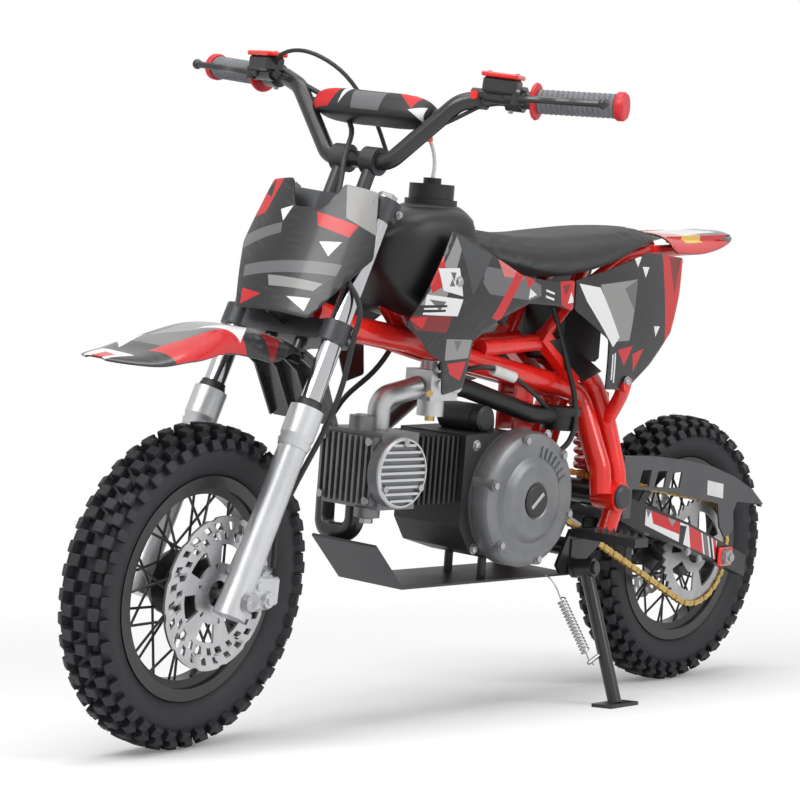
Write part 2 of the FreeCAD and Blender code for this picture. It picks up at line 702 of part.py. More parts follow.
def swingarm():
    """Box section arms from the pivot tube to the axle slots, with a cross box ahead of the tyre."""
    arms = []
    for s in (-1, 1):
        wires = []
        for x, y, z, half_height, half_width in ARM_SECTIONS:
            corners = [
                Vector(x, s * (y - half_width), z - half_height), Vector(x, s * (y + half_width), z - half_height),
                Vector(x, s * (y + half_width), z + half_height), Vector(x, s * (y - half_width), z + half_height),
            ]
            wires.append(Part.makePolygon(corners + corners[:1]))
        arms.append(loft(wires))
    tube = cross_rod(PIVOT_X, PIVOT_Z, -PIVOT_BOSS_INNER_Y + SEAT_GAP, PIVOT_BOSS_INNER_Y - SEAT_GAP, 17)
    brace = box((-300, -276), (-48, 48), (258, 294))
    ears = [
        box((SHOCK_FOOT.x - 11, SHOCK_FOOT.x + 11), ys, (290, SHOCK_FOOT.z + 9))
        for ys in ((-15, -SHOCK_EYE_RADIUS - SEAT_GAP), (SHOCK_EYE_RADIUS + SEAT_GAP, 15))
    ]
    body = fuse(arms + [tube, brace] + ears)
    body = body.cut(cross_rod(SHOCK_FOOT.x, SHOCK_FOOT.z, -20, 20, SHOCK_BOLT_RADIUS + SHAFT_CLEARANCE))
    body = body.cut(cross_rod(PIVOT_X, PIVOT_Z, -100, 100, PIVOT_BOLT_RADIUS + SHAFT_CLEARANCE))
    return body.cut(cross_rod(REAR_AXLE.x, REAR_AXLE.z, -120, 120, AXLE_RADIUS + SHAFT_CLEARANCE))


def pivot_bolt():
    """Swingarm bolt with its end caps."""
    out = PIVOT_BOSS_OUTER_Y + SEAT_GAP
    return fuse([
        cross_rod(PIVOT_X, PIVOT_Z, -out - 1, out + 1, PIVOT_BOLT_RADIUS),
        cross_rod(PIVOT_X, PIVOT_Z, out, out + 5, 15),
        cross_rod(PIVOT_X, PIVOT_Z, -out - 5, -out, 15),
    ])


def shock():
    """Damper and spring between the frame and the swingarm, with the bolts through its eyes."""
    run = (SHOCK_FOOT - SHOCK_TOP).normalize()
    length = (SHOCK_FOOT - SHOCK_TOP).Length
    pieces = [Part.makeCylinder(6, length, SHOCK_TOP, run), Part.makeCylinder(12, length * 0.5, SHOCK_TOP + run * 12, run)]
    for seat_at in (14, length - 22):
        pieces.append(Part.makeCylinder(23, 5, SHOCK_TOP + run * seat_at, run))
    coils = 6
    step = (length - 41) / coils
    for i in range(coils):
        pieces.append(Part.makeTorus(18, 3.5, SHOCK_TOP + run * (19 + step * (i + 0.5)), run))
        pieces.append(Part.makeCylinder(15, 3, SHOCK_TOP + run * (17.5 + step * (i + 0.5)), run))
    for eye, reach in ((SHOCK_TOP, 14.7), (SHOCK_FOOT, 18)):
        pieces.append(cross_rod(eye.x, eye.z, -SHOCK_EYE_RADIUS, SHOCK_EYE_RADIUS, SHOCK_EYE_RADIUS))
        pieces.append(cross_rod(eye.x, eye.z, -reach, reach, SHOCK_BOLT_RADIUS))
    return fuse(pieces)


def rear_axle():
    """Axle with a nut outside each arm."""
    x, z = REAR_AXLE.x, REAR_AXLE.z
    out = ARM_END_Y + ARM_END_HALF_WIDTH + SEAT_GAP
    return fuse([
        cross_rod(x, z, -out - 12, out + 16, AXLE_RADIUS),
        cross_rod(x, z, out, out + 10, 11),
        cross_rod(x, z, -out - 10, -out, 11),
    ])


def chain_loop():
    """Chain as one flat band round both chain wheels."""
    rear_radius = CHAIN_PITCH / (2 * math.sin(math.pi / REAR_TEETH))
    drive_radius = CHAIN_PITCH / (2 * math.sin(math.pi / DRIVE_TEETH))
    dx = DRIVE_SPROCKET_X - REAR_AXLE.x
    dz = DRIVE_SPROCKET_Z - REAR_AXLE.z
    reach = math.hypot(dx, dz)
    base = math.atan2(dz, dx)
    spread = math.asin((rear_radius - drive_radius) / reach)

    def loop(grow):
        """Face of the belt outline grown by grow."""
        big = rear_radius + grow
        small = drive_radius + grow
        up = base + math.pi / 2 - spread
        down = base - math.pi / 2 + spread

        def at(cx, cz, r, a):
            """Point at angle a on a circle."""
            return Vector(cx + r * math.cos(a), 0, cz + r * math.sin(a))

        cx, cz = REAR_AXLE.x, REAR_AXLE.z
        px, pz = DRIVE_SPROCKET_X, DRIVE_SPROCKET_Z
        edges = [
            Part.LineSegment(at(cx, cz, big, up), at(px, pz, small, up)).toShape(),
            Part.Arc(at(px, pz, small, up), at(px, pz, small, base), at(px, pz, small, down)).toShape(),
            Part.LineSegment(at(px, pz, small, down), at(cx, cz, big, down)).toShape(),
            Part.Arc(at(cx, cz, big, down), at(cx, cz, big, base + math.pi), at(cx, cz, big, up)).toShape(),
        ]
        return Part.Face(Part.Wire(edges))

    band = loop(CHAIN_HEIGHT / 2).cut(loop(-CHAIN_HEIGHT / 2))
    return band.extrude(Vector(0, CHAIN_WIDTH, 0)).translated(Vector(0, CHAIN_Y - CHAIN_WIDTH / 2, 0))


def chain_guard():
    """Long dark guard beside the upper run of the chain, bolted to the left arm by its front lug."""
    outline = [
        (-278, 352), (-440, 336), (-560, 316), (-640, 268), (-520, 272), (-400, 296), (-302, 304), (-302, 262),
        (-284, 262), (-278, 306),
    ]
    return polygon_xz(outline, ARM_LUG_Y, ARM_LUG_Y + PANEL_WALL)


def rear_caliper():
    """Caliper ahead of the rear disc on the right arm."""
    body = box((-432, -392), (REAR_DISC_Y - 14, REAR_DISC_Y + 12), (204, 254))
    slot = box((-460, -404), (REAR_DISC_Y - 3.5, REAR_DISC_Y + 3.5), (180, 260))
    lug = box((-432, -406), (-75, REAR_DISC_Y - 13), (218, 240))
    return fuse([body.cut(slot), lug])


def frame_parts():
    """The rigid chassis."""
    main_frame = frame_main()
    return {
        "frame_main": main_frame,
        "subframe": subframe(main_frame),
        "footpeg_bracket": footpeg_bracket(),
        "footpegs": footpegs(),
        "swingarm": swingarm(),
        "pivot_bolt": pivot_bolt(),
        "shock": shock(),
        "rear_axle": rear_axle(),
        "chain": chain_loop(),
        "chain_guard": chain_guard(),
        "rear_caliper": rear_caliper(),
    }


# Engine and exhaust

def crankcase():
    """Two halves of the crankcase as one casting, with the drive chain wheel on its output shaft."""
    front = [
        (62, 386), (-20, 388), (-96, 384), (-104, 380), (-104, 222), (-20, CASE_BOTTOM_Z), (40, 230), (62, 262),
    ]
    rear = [(-96, 384), (-172, 350), (-178, 262), (-120, 228), (-96, 224)]
    case = [polygon_xz(front, CASE_RIGHT_Y, CASE_LEFT_Y), polygon_xz(rear, CASE_RIGHT_Y, CASE_REAR_LEFT_Y)]
    centre = Vector(DRIVE_SPROCKET_X, 0, DRIVE_SPROCKET_Z)
    shaft = cross_rod(DRIVE_SPROCKET_X, DRIVE_SPROCKET_Z, CASE_REAR_LEFT_Y - 1, CHAIN_Y + 5, 10)
    return fuse(case + [shaft, sprocket(centre, CHAIN_Y, DRIVE_TEETH, 8)])


def magneto_cover():
    """Round left hand cover with its inspection cap."""
    y0 = CASE_LEFT_Y + SEAT_GAP
    inner = cross_rod(CRANK_X, CRANK_Z, y0, 78, COVER_RADIUS)
    face = turned(
        [(77, 0), (77, COVER_RADIUS), (90, COVER_RADIUS - 2), (COVER_OUTER_Y - 2, COVER_RADIUS - 12),
         (COVER_OUTER_Y, 50), (COVER_OUTER_Y, 0)],
        Vector(CRANK_X, 0, CRANK_Z),
    )
    cap = cross_rod(CRANK_X, CRANK_Z, COVER_OUTER_Y - 1, COVER_OUTER_Y + 3, 21)
    return fuse([inner, face, cap])


def clutch_cover():
    """Right hand cover."""
    y0 = CASE_RIGHT_Y - SEAT_GAP
    disc = cross_rod(CRANK_X, CRANK_Z, y0 - 34, y0, 72)
    rear = cross_rod(CRANK_X - 78, CRANK_Z + 6, y0 - 24, y0, 52)
    return fuse([disc, rear])


def finned_cylinder():
    """Cylinder barrel with fins across its axis."""
    z = CYLINDER_AXIS_Z
    x0 = CYLINDER_BACK_X + SEAT_GAP
    x1 = CYLINDER_FRONT_X - SEAT_GAP
    parts = [box((x0, x1), (-36, 36), (z - 36, z + 36))]
    pitch = 10.0
    count = int((x1 - x0) / pitch)
    for i in range(count):
        x = x0 + 4 + i * pitch
        parts.append(box((x, x + 4), (-48, 48), (z - 46, z + 44)))
    return fuse(parts)


def cylinder_head():
    """Head with its ribbed round cover, valve caps and front fins."""
    z = CYLINDER_AXIS_Z
    x0 = CYLINDER_FRONT_X
    x1 = HEAD_FRONT_X - 12
    parts = [box((x0, x1), (-48, 52), (z - HEAD_HALF_HEIGHT, z + HEAD_HALF_HEIGHT))]
    for i in range(10):
        y = -46 + i * 10
        parts.append(box((x1 - 1, HEAD_FRONT_X), (y, y + 4), (z - 44, z + 44)))
    parts.append(cross_rod(198, z, 50, 66, 46))
    for i in range(9):
        dz = -36 + i * 9
        half = math.sqrt(42.0 ** 2 - dz ** 2)
        parts.append(box((198 - half, 198 + half), (65, 70), (z + dz - 2, z + dz + 2)))
    parts.append(rod((211, 4, z + 49), (211, 4, z + 68), 17))
    parts.append(rod((211, 24, z - 62), (211, 24, z - 49), 17))
    return fuse(parts)


def carburettor():
    """Carburettor with its elbow to the head."""
    head_top = CYLINDER_AXIS_Z + HEAD_HALF_HEIGHT
    elbow = bent_tube([(176, 0, head_top + SEAT_GAP), (176, 0, 430), (118, 14, 446)], 15, 22)
    body = box((66, 120), (-8, 38), (430, 470))
    bowl = rod((92, 15, 408), (92, 15, 431), 18)
    return fuse([elbow, body, bowl])


def air_filter():
    """Pod filter under the left spar, with its hose from the carburettor."""
    hose = bent_tube([(66 - SEAT_GAP, 15, 446), (30, 15, 446), (-90, 38, 412), (-150, 38, 408)], 13, 60)
    return fuse([
        hose,
        rod((-160, 36, 389), (-160, 36, 411), 26),
        rod((-160, 36, 410), (-160, 36, 421), 29),
    ])


def exhaust():
    """Header from the head round to the right, and a high silencer."""
    pipe = bent_tube(
        [(190, -16, CYLINDER_AXIS_Z - HEAD_HALF_HEIGHT - SEAT_GAP), (190, -16, 250), (192, -68, 246),
         (176, -84, 300), (90, -108, 356), (-40, -130, 420), (-150, -136, 470)],
        13, [22, 22, 24, 40, 60],
    )
    start = Vector(-150, -136, 470)
    run = (Vector(-400, -140, 560) - start).normalize()
    can = Part.makeCylinder(31, 250, start, run)
    tip = Part.makeCylinder(12, 14, start + run * 249, run)
    hanger = [box((-256, -240), (-140, -134), (432, 490)), box((-256, -240), (-140, -87.4), (432, 442))]
    return fuse([pipe, can, tip] + hanger)


def skid_plate():
    """Bent plate under the engine."""
    top = SKID_PLATE_Z
    bottom = top - PANEL_WALL
    outline = [(226, 243), (168, bottom), (-186, bottom), (-186, top), (166, top), (224, 246)]
    posts = [rod((x, y, top - 1), (x, y, CASE_BOTTOM_Z - SEAT_GAP), 6) for x in (-22, ) for y in (-30, 30)]
    return fuse([polygon_xz(outline, -SKID_HALF_WIDTH, SKID_HALF_WIDTH)] + posts)


def engine_parts():
    """Engine, intake, exhaust and skid plate."""
    return {
        "crankcase": crankcase(),
        "magneto_cover": magneto_cover(),
        "clutch_cover": clutch_cover(),
        "cylinder": finned_cylinder(),
        "cylinder_head": cylinder_head(),
        "carburettor": carburettor(),
        "air_filter": air_filter(),
        "exhaust": exhaust(),
        "skid_plate": skid_plate(),
    }


# Bodywork

SEAT_FRONT_X = 72.0
SEAT_REAR_X = -335.0
TANK_SECTIONS = (
    # x, half width, bottom, top
    (236, 44, 590, 650),
    (190, 66, 550, 676),
    (100, 74, 530, 684),
    (SEAT_FRONT_X, 72, 530, 684),
)

SEAT_SECTIONS = (
    # x, half width, bottom, top
    (SEAT_FRONT_X - SEAT_GAP, 60, 622, 660),
    (0, 80, 606, 651),
    (-80, 90, 600, 653),
    (-170, 92, 616, 662),
    (-260, 84, 646, 672),
    (SEAT_REAR_X, 64, 656, 676),
)

TAIL_SECTIONS = (
    # x, half width, top height, side drop
    (SEAT_REAR_X - SEAT_GAP, 86, 673, 28),
    (-400, 82, 674, 26),
    (-460, 72, 679, 18),
    (-520, 56, 684, 8),
)


def fuel_tank():
    """Tank between the spars and the seat, with its filler neck."""
    body = loft([rounded_section(x, w, z0, z1, 20) for x, w, z0, z1 in TANK_SECTIONS])
    neck = rod((106, 0, 680), (106, 0, 694), 32)
    return fuse([body, neck]).cut(upper_tube(UPPER_TUBE_RADIUS + SEAT_GAP))


def fuel_cap():
    """Screw cap."""
    return fuse([rod((106, 0, 694.3), (106, 0, 714), 30), rod((106, 0, 713), (106, 0, 722), 12)])


def seat():
    """Long seat, a plain closed cushion."""
    return loft([rounded_section(x, w, z0, z1, 8) for x, w, z0, z1 in SEAT_SECTIONS])


def shroud(side):
    """Tank side panel with the tongue that reaches down over the spar."""
    outline = [
        (158, 655), (230, 532), (204, 512), (190, 496), (166, 486), (154, 442), (116, 452), (113, 514),
        (60, 545), (0, 566), (-60, 564), (-97, 558), (-97, 600), (-50, 596), (20, 603), (90, 630),
    ]
    panel = polygon_xz(outline, PANEL_Y, PANEL_Y + PANEL_WALL)
    tank_side = section_value(TANK_SECTIONS, 142, 1)
    boss = cross_rod(150, 572, tank_side + SEAT_GAP, PANEL_Y + 1, 7)
    shape = fuse([panel, boss])
    return shape if side > 0 else mirror_y(shape)


def side_panel(side):
    """Rear side panel with the blank number field."""
    outline = [
        (-100, 600), (-100, 560), (-180, 520), (-190, 450), (-238, 450), (-286, 486), (-332, 532), (-352, 590),
        (-362, 640), (-267, 648), (-160, 618),
    ]
    panel = polygon_xz(outline, PANEL_Y, PANEL_Y + PANEL_WALL)
    return panel if side > 0 else mirror_y(panel)


def rear_fender():
    """Tail behind the seat."""
    return loft([shell_section(x, w, z, d, PANEL_WALL) for x, w, z, d in TAIL_SECTIONS])


def body_parts():
    """Tank, seat and plastics."""
    return {
        "fuel_tank": fuel_tank(),
        "fuel_cap": fuel_cap(),
        "seat": seat(),
        "shrouds": fuse([shroud(1), shroud(-1)]),
        "side_panels": fuse([side_panel(1), side_panel(-1)]),
        "rear_fender": rear_fender(),
    }


# Side stand

def side_stand(parked):
    """Stand leg with its foot flat on the floor when the bike is parked."""
    to_bike = parked.inverse()
    foot_top = to_bike.multVec(STAND_FOOT_PARKED + Vector(0, 0, STAND_FOOT_WALL - 1))
    axis = Vector(STAND_AXIS).normalize()
    boss = Part.makeCylinder(13, 2 * STAND_BOSS_HALF, STAND_PIVOT - axis * STAND_BOSS_HALF, axis)
    leg = Part.makeCylinder(9.5, (foot_top - STAND_PIVOT).Length, STAND_PIVOT, foot_top - STAND_PIVOT)
    foot = Part.makeBox(62, 34, STAND_FOOT_WALL, STAND_FOOT_PARKED - Vector(31, 17, 0))
    foot = moved(foot, to_bike)
    bore = Part.makeCylinder(STAND_PIN_RADIUS + SHAFT_CLEARANCE, 60, STAND_PIVOT - axis * 30, axis)
    return fuse([boss, leg, foot]).cut(bore)


# Parking and export

def steer_placement():
    """Turn of the front end about the steering axis."""
    return Placement(Vector(0, 0, 0), Rotation(STEER_AXIS, PARKED_STEER_DEG), STEER_FOOT)


def lowest(shape, placement):
    """Lowest height of a shape once placed."""
    return moved(shape, placement).BoundBox.ZMin


def moved(shape, placement):
    """Copy of a shape with the placement applied."""
    copy = shape.copy()
    copy.transformShape(placement.toMatrix(), True, False)
    return copy


def parked_placement(front_tyre, rear_tyre):
    """Lean, and the slight pitch that puts both tyres on the floor at z = 0."""
    lean = Placement(Vector(0, 0, 0), Rotation(Vector(1, 0, 0), -PARKED_LEAN_DEG))
    front_low = lowest(front_tyre, lean.multiply(steer_placement()))
    rear_low = lowest(rear_tyre, lean)
    pitch = Placement(
        Vector(0, 0, 0), Rotation(ALONG_Y, math.degrees(math.atan2(front_low - rear_low, WHEELBASE)))
    )
    placed = pitch.multiply(lean)
    drop = min(lowest(front_tyre, placed.multiply(steer_placement())), lowest(rear_tyre, placed))
    return Placement(Vector(0, 0, -drop), Rotation()).multiply(placed)


def build():
    """All pieces by body, and the placement of each body before centring."""
    wheel_front = front_wheel()
    wheel_rear = rear_wheel()
    parked = parked_placement(wheel_front["front_tyre"], wheel_rear["rear_tyre"])
    chassis = {}
    chassis.update(frame_parts())
    chassis.update(engine_parts())
    chassis.update(body_parts())
    bodies = {
        "chassis": chassis,
        "steering": steering(),
        "front_wheel": wheel_front,
        "rear_wheel": wheel_rear,
        "side_stand": {"side_stand": side_stand(parked)},
    }
    return bodies, parked


def place_parked(bodies, parked):
    """Every piece in its parked place, with the origin at the middle of the footprint."""
    steered = parked.multiply(steer_placement())
    placed = {}
    for body, pieces in bodies.items():
        placement = steered if body in ("steering", "front_wheel") else parked
        for name, shape in pieces.items():
            placed[name] = moved(shape, placement)
    bounds = Part.makeCompound(list(placed.values())).BoundBox
    centre = Vector((bounds.XMin + bounds.XMax) / 2, (bounds.YMin + bounds.YMax) / 2, bounds.ZMin)
    for shape in placed.values():
        shape.translate(-centre)
    return placed, centre


def main():
    """Build, place and write every piece."""
    os.makedirs("parts", exist_ok=True)
    bodies, parked = build()
    placed, centre = place_parked(bodies, parked)
    for name, shape in placed.items():
        shape.exportStep(os.path.join("parts", name + ".step"))
    print("pieces", len(placed), "centre", centre)


if __name__ == "__main__":
    main()
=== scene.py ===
"""Dirt bike on its side stand: the finishes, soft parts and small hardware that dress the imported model."""
import json
import logging
import math
import random
from dataclasses import dataclass, field
from enum import Enum
from typing import Sequence

import bmesh
import bpy
from mathutils import Matrix, Vector


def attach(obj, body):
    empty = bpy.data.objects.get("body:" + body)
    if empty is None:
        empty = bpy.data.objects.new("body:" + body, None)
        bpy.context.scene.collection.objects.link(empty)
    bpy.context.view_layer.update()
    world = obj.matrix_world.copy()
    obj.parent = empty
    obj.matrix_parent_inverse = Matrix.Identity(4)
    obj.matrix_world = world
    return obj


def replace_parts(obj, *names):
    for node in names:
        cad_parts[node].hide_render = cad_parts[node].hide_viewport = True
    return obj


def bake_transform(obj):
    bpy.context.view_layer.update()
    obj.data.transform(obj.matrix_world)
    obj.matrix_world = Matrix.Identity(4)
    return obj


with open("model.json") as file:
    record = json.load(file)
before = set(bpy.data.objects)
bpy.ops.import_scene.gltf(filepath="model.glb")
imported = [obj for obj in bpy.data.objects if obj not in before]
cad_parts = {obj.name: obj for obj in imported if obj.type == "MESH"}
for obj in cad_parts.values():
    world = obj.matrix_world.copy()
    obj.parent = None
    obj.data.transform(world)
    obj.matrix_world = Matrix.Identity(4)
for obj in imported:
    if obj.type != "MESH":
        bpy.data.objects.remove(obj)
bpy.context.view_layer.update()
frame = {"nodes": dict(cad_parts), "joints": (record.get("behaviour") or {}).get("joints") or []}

MM = 0.001
RAKE = math.radians(23.5)
WHEELBASE = 1000.0
AXLE_HEIGHT = 201.5
TRAIL = 67.0
FORK_OFFSET = AXLE_HEIGHT * math.sin(RAKE) - TRAIL * math.cos(RAKE)
LEG_AHEAD = Vector((math.cos(RAKE), 0, math.sin(RAKE)))
LEG_UP = Vector((-math.sin(RAKE), 0, math.cos(RAKE)))
FORK_SPACING = 154.8
LOWER_CLAMP_Q = 336.0
UPPER_CLAMP_Q = 505.0

Colour = tuple[float, float, float]
Point = tuple[float, float, float]
Pair = tuple[float, float]
Outline = tuple[Pair, ...]
Sections = tuple[tuple[float, float, float, float], ...]
Materials = dict[str, bpy.types.Material]
AHEAD, LEFT, UP = Vector((1, 0, 0)), Vector((0, 1, 0)), Vector((0, 0, 1))
COVER_FRAMES = 20
LOG = logging.getLogger("bike")


@dataclass(frozen=True)
class Grid:
    """A millimetre grid that lies in the parked model: x ahead, y to the left, z up."""

    origin: Vector
    ahead: Vector
    left: Vector
    up: Vector

    @property
    def matrix(self) -> Matrix:
        """Turns millimetres of this grid into the model's metres."""
        axes = Matrix((self.ahead, self.left, self.up)).transposed()
        return Matrix.Translation(self.origin) @ axes.to_4x4() @ Matrix.Scale(MM, 4)

    @classmethod
    def from_axle(cls, axle: Vector, left: Vector, steer: Vector, x: float) -> "Grid":
        """Grid of the upright bike, read from one axle and the steering axis.

        Args:
            axle: Middle of the axle in the parked model.
            left: Direction of the axle, to the rider's left.
            steer: Direction of the steering axis, upwards.
            x: Where that axle lies on the grid, in millimetres.

        Returns:
            The grid whose origin is on the floor midway between the axles.
        """
        square = left.cross(steer).normalized()
        ahead = (square * math.cos(RAKE) - steer * math.sin(RAKE)).normalized()
        up = (square * math.sin(RAKE) + steer * math.cos(RAKE)).normalized()
        origin = axle - ahead * (x * MM) - up * (AXLE_HEIGHT * MM)
        return cls(origin, ahead, left, up)


def joint(name: str) -> dict:
    """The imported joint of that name."""
    return next(j for j in frame["joints"] if j["name"] == name)


def axis_of(name: str) -> Vector:
    """Unit direction of a joint's axis."""
    return Vector(joint(name)["axis"]).normalized()


def place_of(name: str) -> Vector:
    """A point on a joint's axis, in metres."""
    return Vector(joint(name)["pos_m"])


STEER_AXIS = axis_of("steering")
BIKE = Grid.from_axle(place_of("rear_wheel_spin"), axis_of("rear_wheel_spin"), STEER_AXIS, -WHEELBASE / 2)
FRONT = Grid.from_axle(place_of("front_wheel_spin"), axis_of("front_wheel_spin"), STEER_AXIS, WHEELBASE / 2)


class Field:
    """A number that varies over a surface, written with Python's own operators."""

    def __init__(self, shader: "Shader", socket: bpy.types.NodeSocket) -> None:
        """Keeps the shader that the number belongs to and the socket that gives it."""
        self.shader = shader
        self.socket = socket

    def _math(self, operation: str, *values: "Field | float") -> "Field":
        """Math node of that operation on the given values."""
        inputs = dict(enumerate(values))
        node = self.shader.node("ShaderNodeMath", {"operation": operation}, inputs)
        return Field(self.shader, node.outputs[0])

    def __add__(self, other: "Field | float") -> "Field":
        """Sum."""
        return self._math("ADD", self, other)

    def __sub__(self, other: "Field | float") -> "Field":
        """Difference."""
        return self._math("SUBTRACT", self, other)

    def __rsub__(self, other: float) -> "Field":
        """Difference from a number."""
        return self._math("SUBTRACT", other, self)

    def __mul__(self, other: "Field | float") -> "Field":
        """Product."""
        return self._math("MULTIPLY", self, other)

    __radd__ = __add__
    __rmul__ = __mul__

    def least(self, other: "Field | float") -> "Field":
        """The smaller of two."""
        return self._math("MINIMUM", self, other)

    def most(self, other: "Field | float") -> "Field":
        """The larger of two."""
        return self._math("MAXIMUM", self, other)

    def above(self, edge: float, blur: float = 0.02) -> "Field":
        """Mask that rises from 0 to 1 where the value passes edge.

        Args:
            edge: Value at the middle of the rise.
            blur: Half the width of the rise.

        Returns:
            The mask.
        """
        inputs = {0: self, 1: edge - blur, 2: edge + blur}
        node = self.shader.node("ShaderNodeMapRange", {"interpolation_type": "SMOOTHSTEP"}, inputs)
        return Field(self.shader, node.outputs[0])


class Shader:
    """Node tree of a material or of the world."""

    def __init__(self, owner: bpy.types.Material | bpy.types.World) -> None:
        """Turns the owner's nodes on and works in its tree."""
        owner.use_nodes = True
        self.owner = owner
        self.tree = owner.node_tree

    @classmethod
    def of_material(cls, name: str) -> "Shader":
        """Tree of a new material of that name."""
        return cls(bpy.data.materials.new(name))

    @property
    def surface(self) -> bpy.types.Node:
        """The material's Principled surface."""
        return self.tree.nodes["Principled BSDF"]

    def feed(self, socket: bpy.types.NodeSocket, value: object) -> None:
        """Links or sets one socket."""
        if isinstance(value, Field):
            self.tree.links.new(value.socket, socket)
        elif isinstance(value, bpy.types.NodeSocket):
            self.tree.links.new(value, socket)
        else:
            socket.default_value = value

    def node(self, kind: str, settings: dict | None = None, inputs: dict | None = None) -> bpy.types.Node:
        """Adds a node of any kind.

        Args:
            kind: Blender's name of the node type.
            settings: The node's own settings, set before its sockets.
            inputs: Values or links by socket name or number.

        Returns:
            The new node.
        """
        node = self.tree.nodes.new(kind)
        for key, value in (settings or {}).items():
            setattr(node, key, value)
        for key, value in (inputs or {}).items():
            self.feed(node.inputs[key], value)
        return node

    def place(self, grid: Grid, turn: Point = (0, 0, 0), stretch: Point = (1, 1, 1)) -> bpy.types.NodeSocket:
        """Position on the surface in millimetres of a grid.

        Args:
            grid: The grid that the pattern lies in.
            turn: Extra turn of the pattern, in degrees.
            stretch: Length of one step of the pattern along each axis.

        Returns:
            The vector socket.
        """
        vector = self.node("ShaderNodeTexCoord").outputs["Object"]
        rotation = grid.matrix.to_3x3().normalized().to_euler()
        radians = [math.radians(angle) for angle in turn]
        for where, angles, scale in ((grid.origin, rotation, (MM, MM, MM)), ((0, 0, 0), radians, stretch)):
            inputs = {"Vector": vector, "Location": where, "Rotation": angles, "Scale": scale}
            vector = self.node("ShaderNodeMapping", {"vector_type": "TEXTURE"}, inputs).outputs[0]
        return vector

    def noise(self, vector: bpy.types.NodeSocket, size: float, detail: float = 3.0) -> Field:
        """Soft noise around 0.5.

        Args:
            vector: Position in millimetres.
            size: Size of its blots in millimetres.
            detail: Octaves.

        Returns:
            The noise.
        """
        inputs = {"Vector": vector, "Scale": 1 / size, "Detail": detail}
        return Field(self, self.node("ShaderNodeTexNoise", {"noise_dimensions": "3D"}, inputs).outputs[0])

    def mix(self, factor: "Field | float", low: object, high: object) -> bpy.types.NodeSocket:
        """Colour between low and high.

        Args:
            factor: 0 for low, 1 for high.
            low: Colour or colour socket.
            high: Colour or colour socket.

        Returns:
            The mixed colour's socket.
        """
        colours = [v if isinstance(v, bpy.types.NodeSocket) else (*v, 1.0) for v in (low, high)]
        node = self.node("ShaderNodeMix", {"data_type": "RGBA"}, {0: factor, 6: colours[0], 7: colours[1]})
        return node.outputs[2]

    def relief(self, height: Field, depth: float) -> None:
        """Bump on the surface from a height field, whose full range is depth millimetres."""
        node = self.node("ShaderNodeBump", inputs={"Height": height, "Distance": depth * MM, "Strength": 1.0})
        self.feed(self.surface.inputs["Normal"], node.outputs[0])

    def set(self, **values: object) -> None:
        """Sets sockets of the surface: base_color, roughness, metallic, coat_weight and so on."""
        for key, value in values.items():
            self.feed(self.surface.inputs[key.replace("_", " ").title()], value)


class Skin(Enum):
    """How the face of a plain material feels: size of its relief and depth of it, in millimetres."""

    SMOOTH = (9.0, 0.02)
    ORANGE_PEEL = (1.6, 0.05)
    MOULDED = (0.7, 0.06)
    CAST = (0.9, 0.16)
    RUBBER = (1.1, 0.12)


@dataclass(frozen=True)
class Finish:
    """One plain finish: its colour with a little drift, its gloss and the grain of its skin."""

    name: str
    colour: Colour
    roughness: float
    skin: Skin = Skin.SMOOTH
    metallic: float = 0.0
    coat: float = 0.0
    drift: float = 0.12
    grid: Grid = BIKE
    blot_size: float = 45.0
    blot_gloss: float = 0.18
    coat_roughness: float = 0.08

    def make(self) -> bpy.types.Material:
        """The finish as a material."""
        shader = Shader.of_material(self.name)
        self.dress(shader)
        return shader.owner

    def dress(self, shader: Shader) -> None:
        """Builds the nodes."""
        place = shader.place(self.grid)
        size, depth = self.skin.value
        blots = shader.noise(place, self.blot_size, 4.0)
        grain = shader.noise(place, size, 2.0)
        dark = tuple(c * (1 - self.drift) for c in self.colour)
        light = tuple(min(1.0, c * (1 + self.drift)) for c in self.colour)
        shader.set(
            base_color=shader.mix(blots.above(0.5, 0.22), dark, light),
            roughness=(blots - 0.5) * self.blot_gloss + self.roughness,
            metallic=self.metallic, coat_weight=self.coat, coat_roughness=self.coat_roughness,
        )
        shader.relief(grain, depth)


@dataclass(frozen=True)
class Brushed(Finish):
    """Metal with fine lines turned or ground along one direction."""

    lines: Point = (40.0, 40.0, 0.35)
    line_gloss: float = 0.3
    line_depth: float = 0.02

    def dress(self, shader: Shader) -> None:
        """Adds the lines to the plain finish."""
        super().dress(shader)
        lines = shader.noise(shader.place(self.grid, stretch=self.lines), 1.0, 2.0)
        shader.set(roughness=(lines - 0.5) * self.line_gloss + self.roughness)
        shader.relief(lines, self.line_depth)


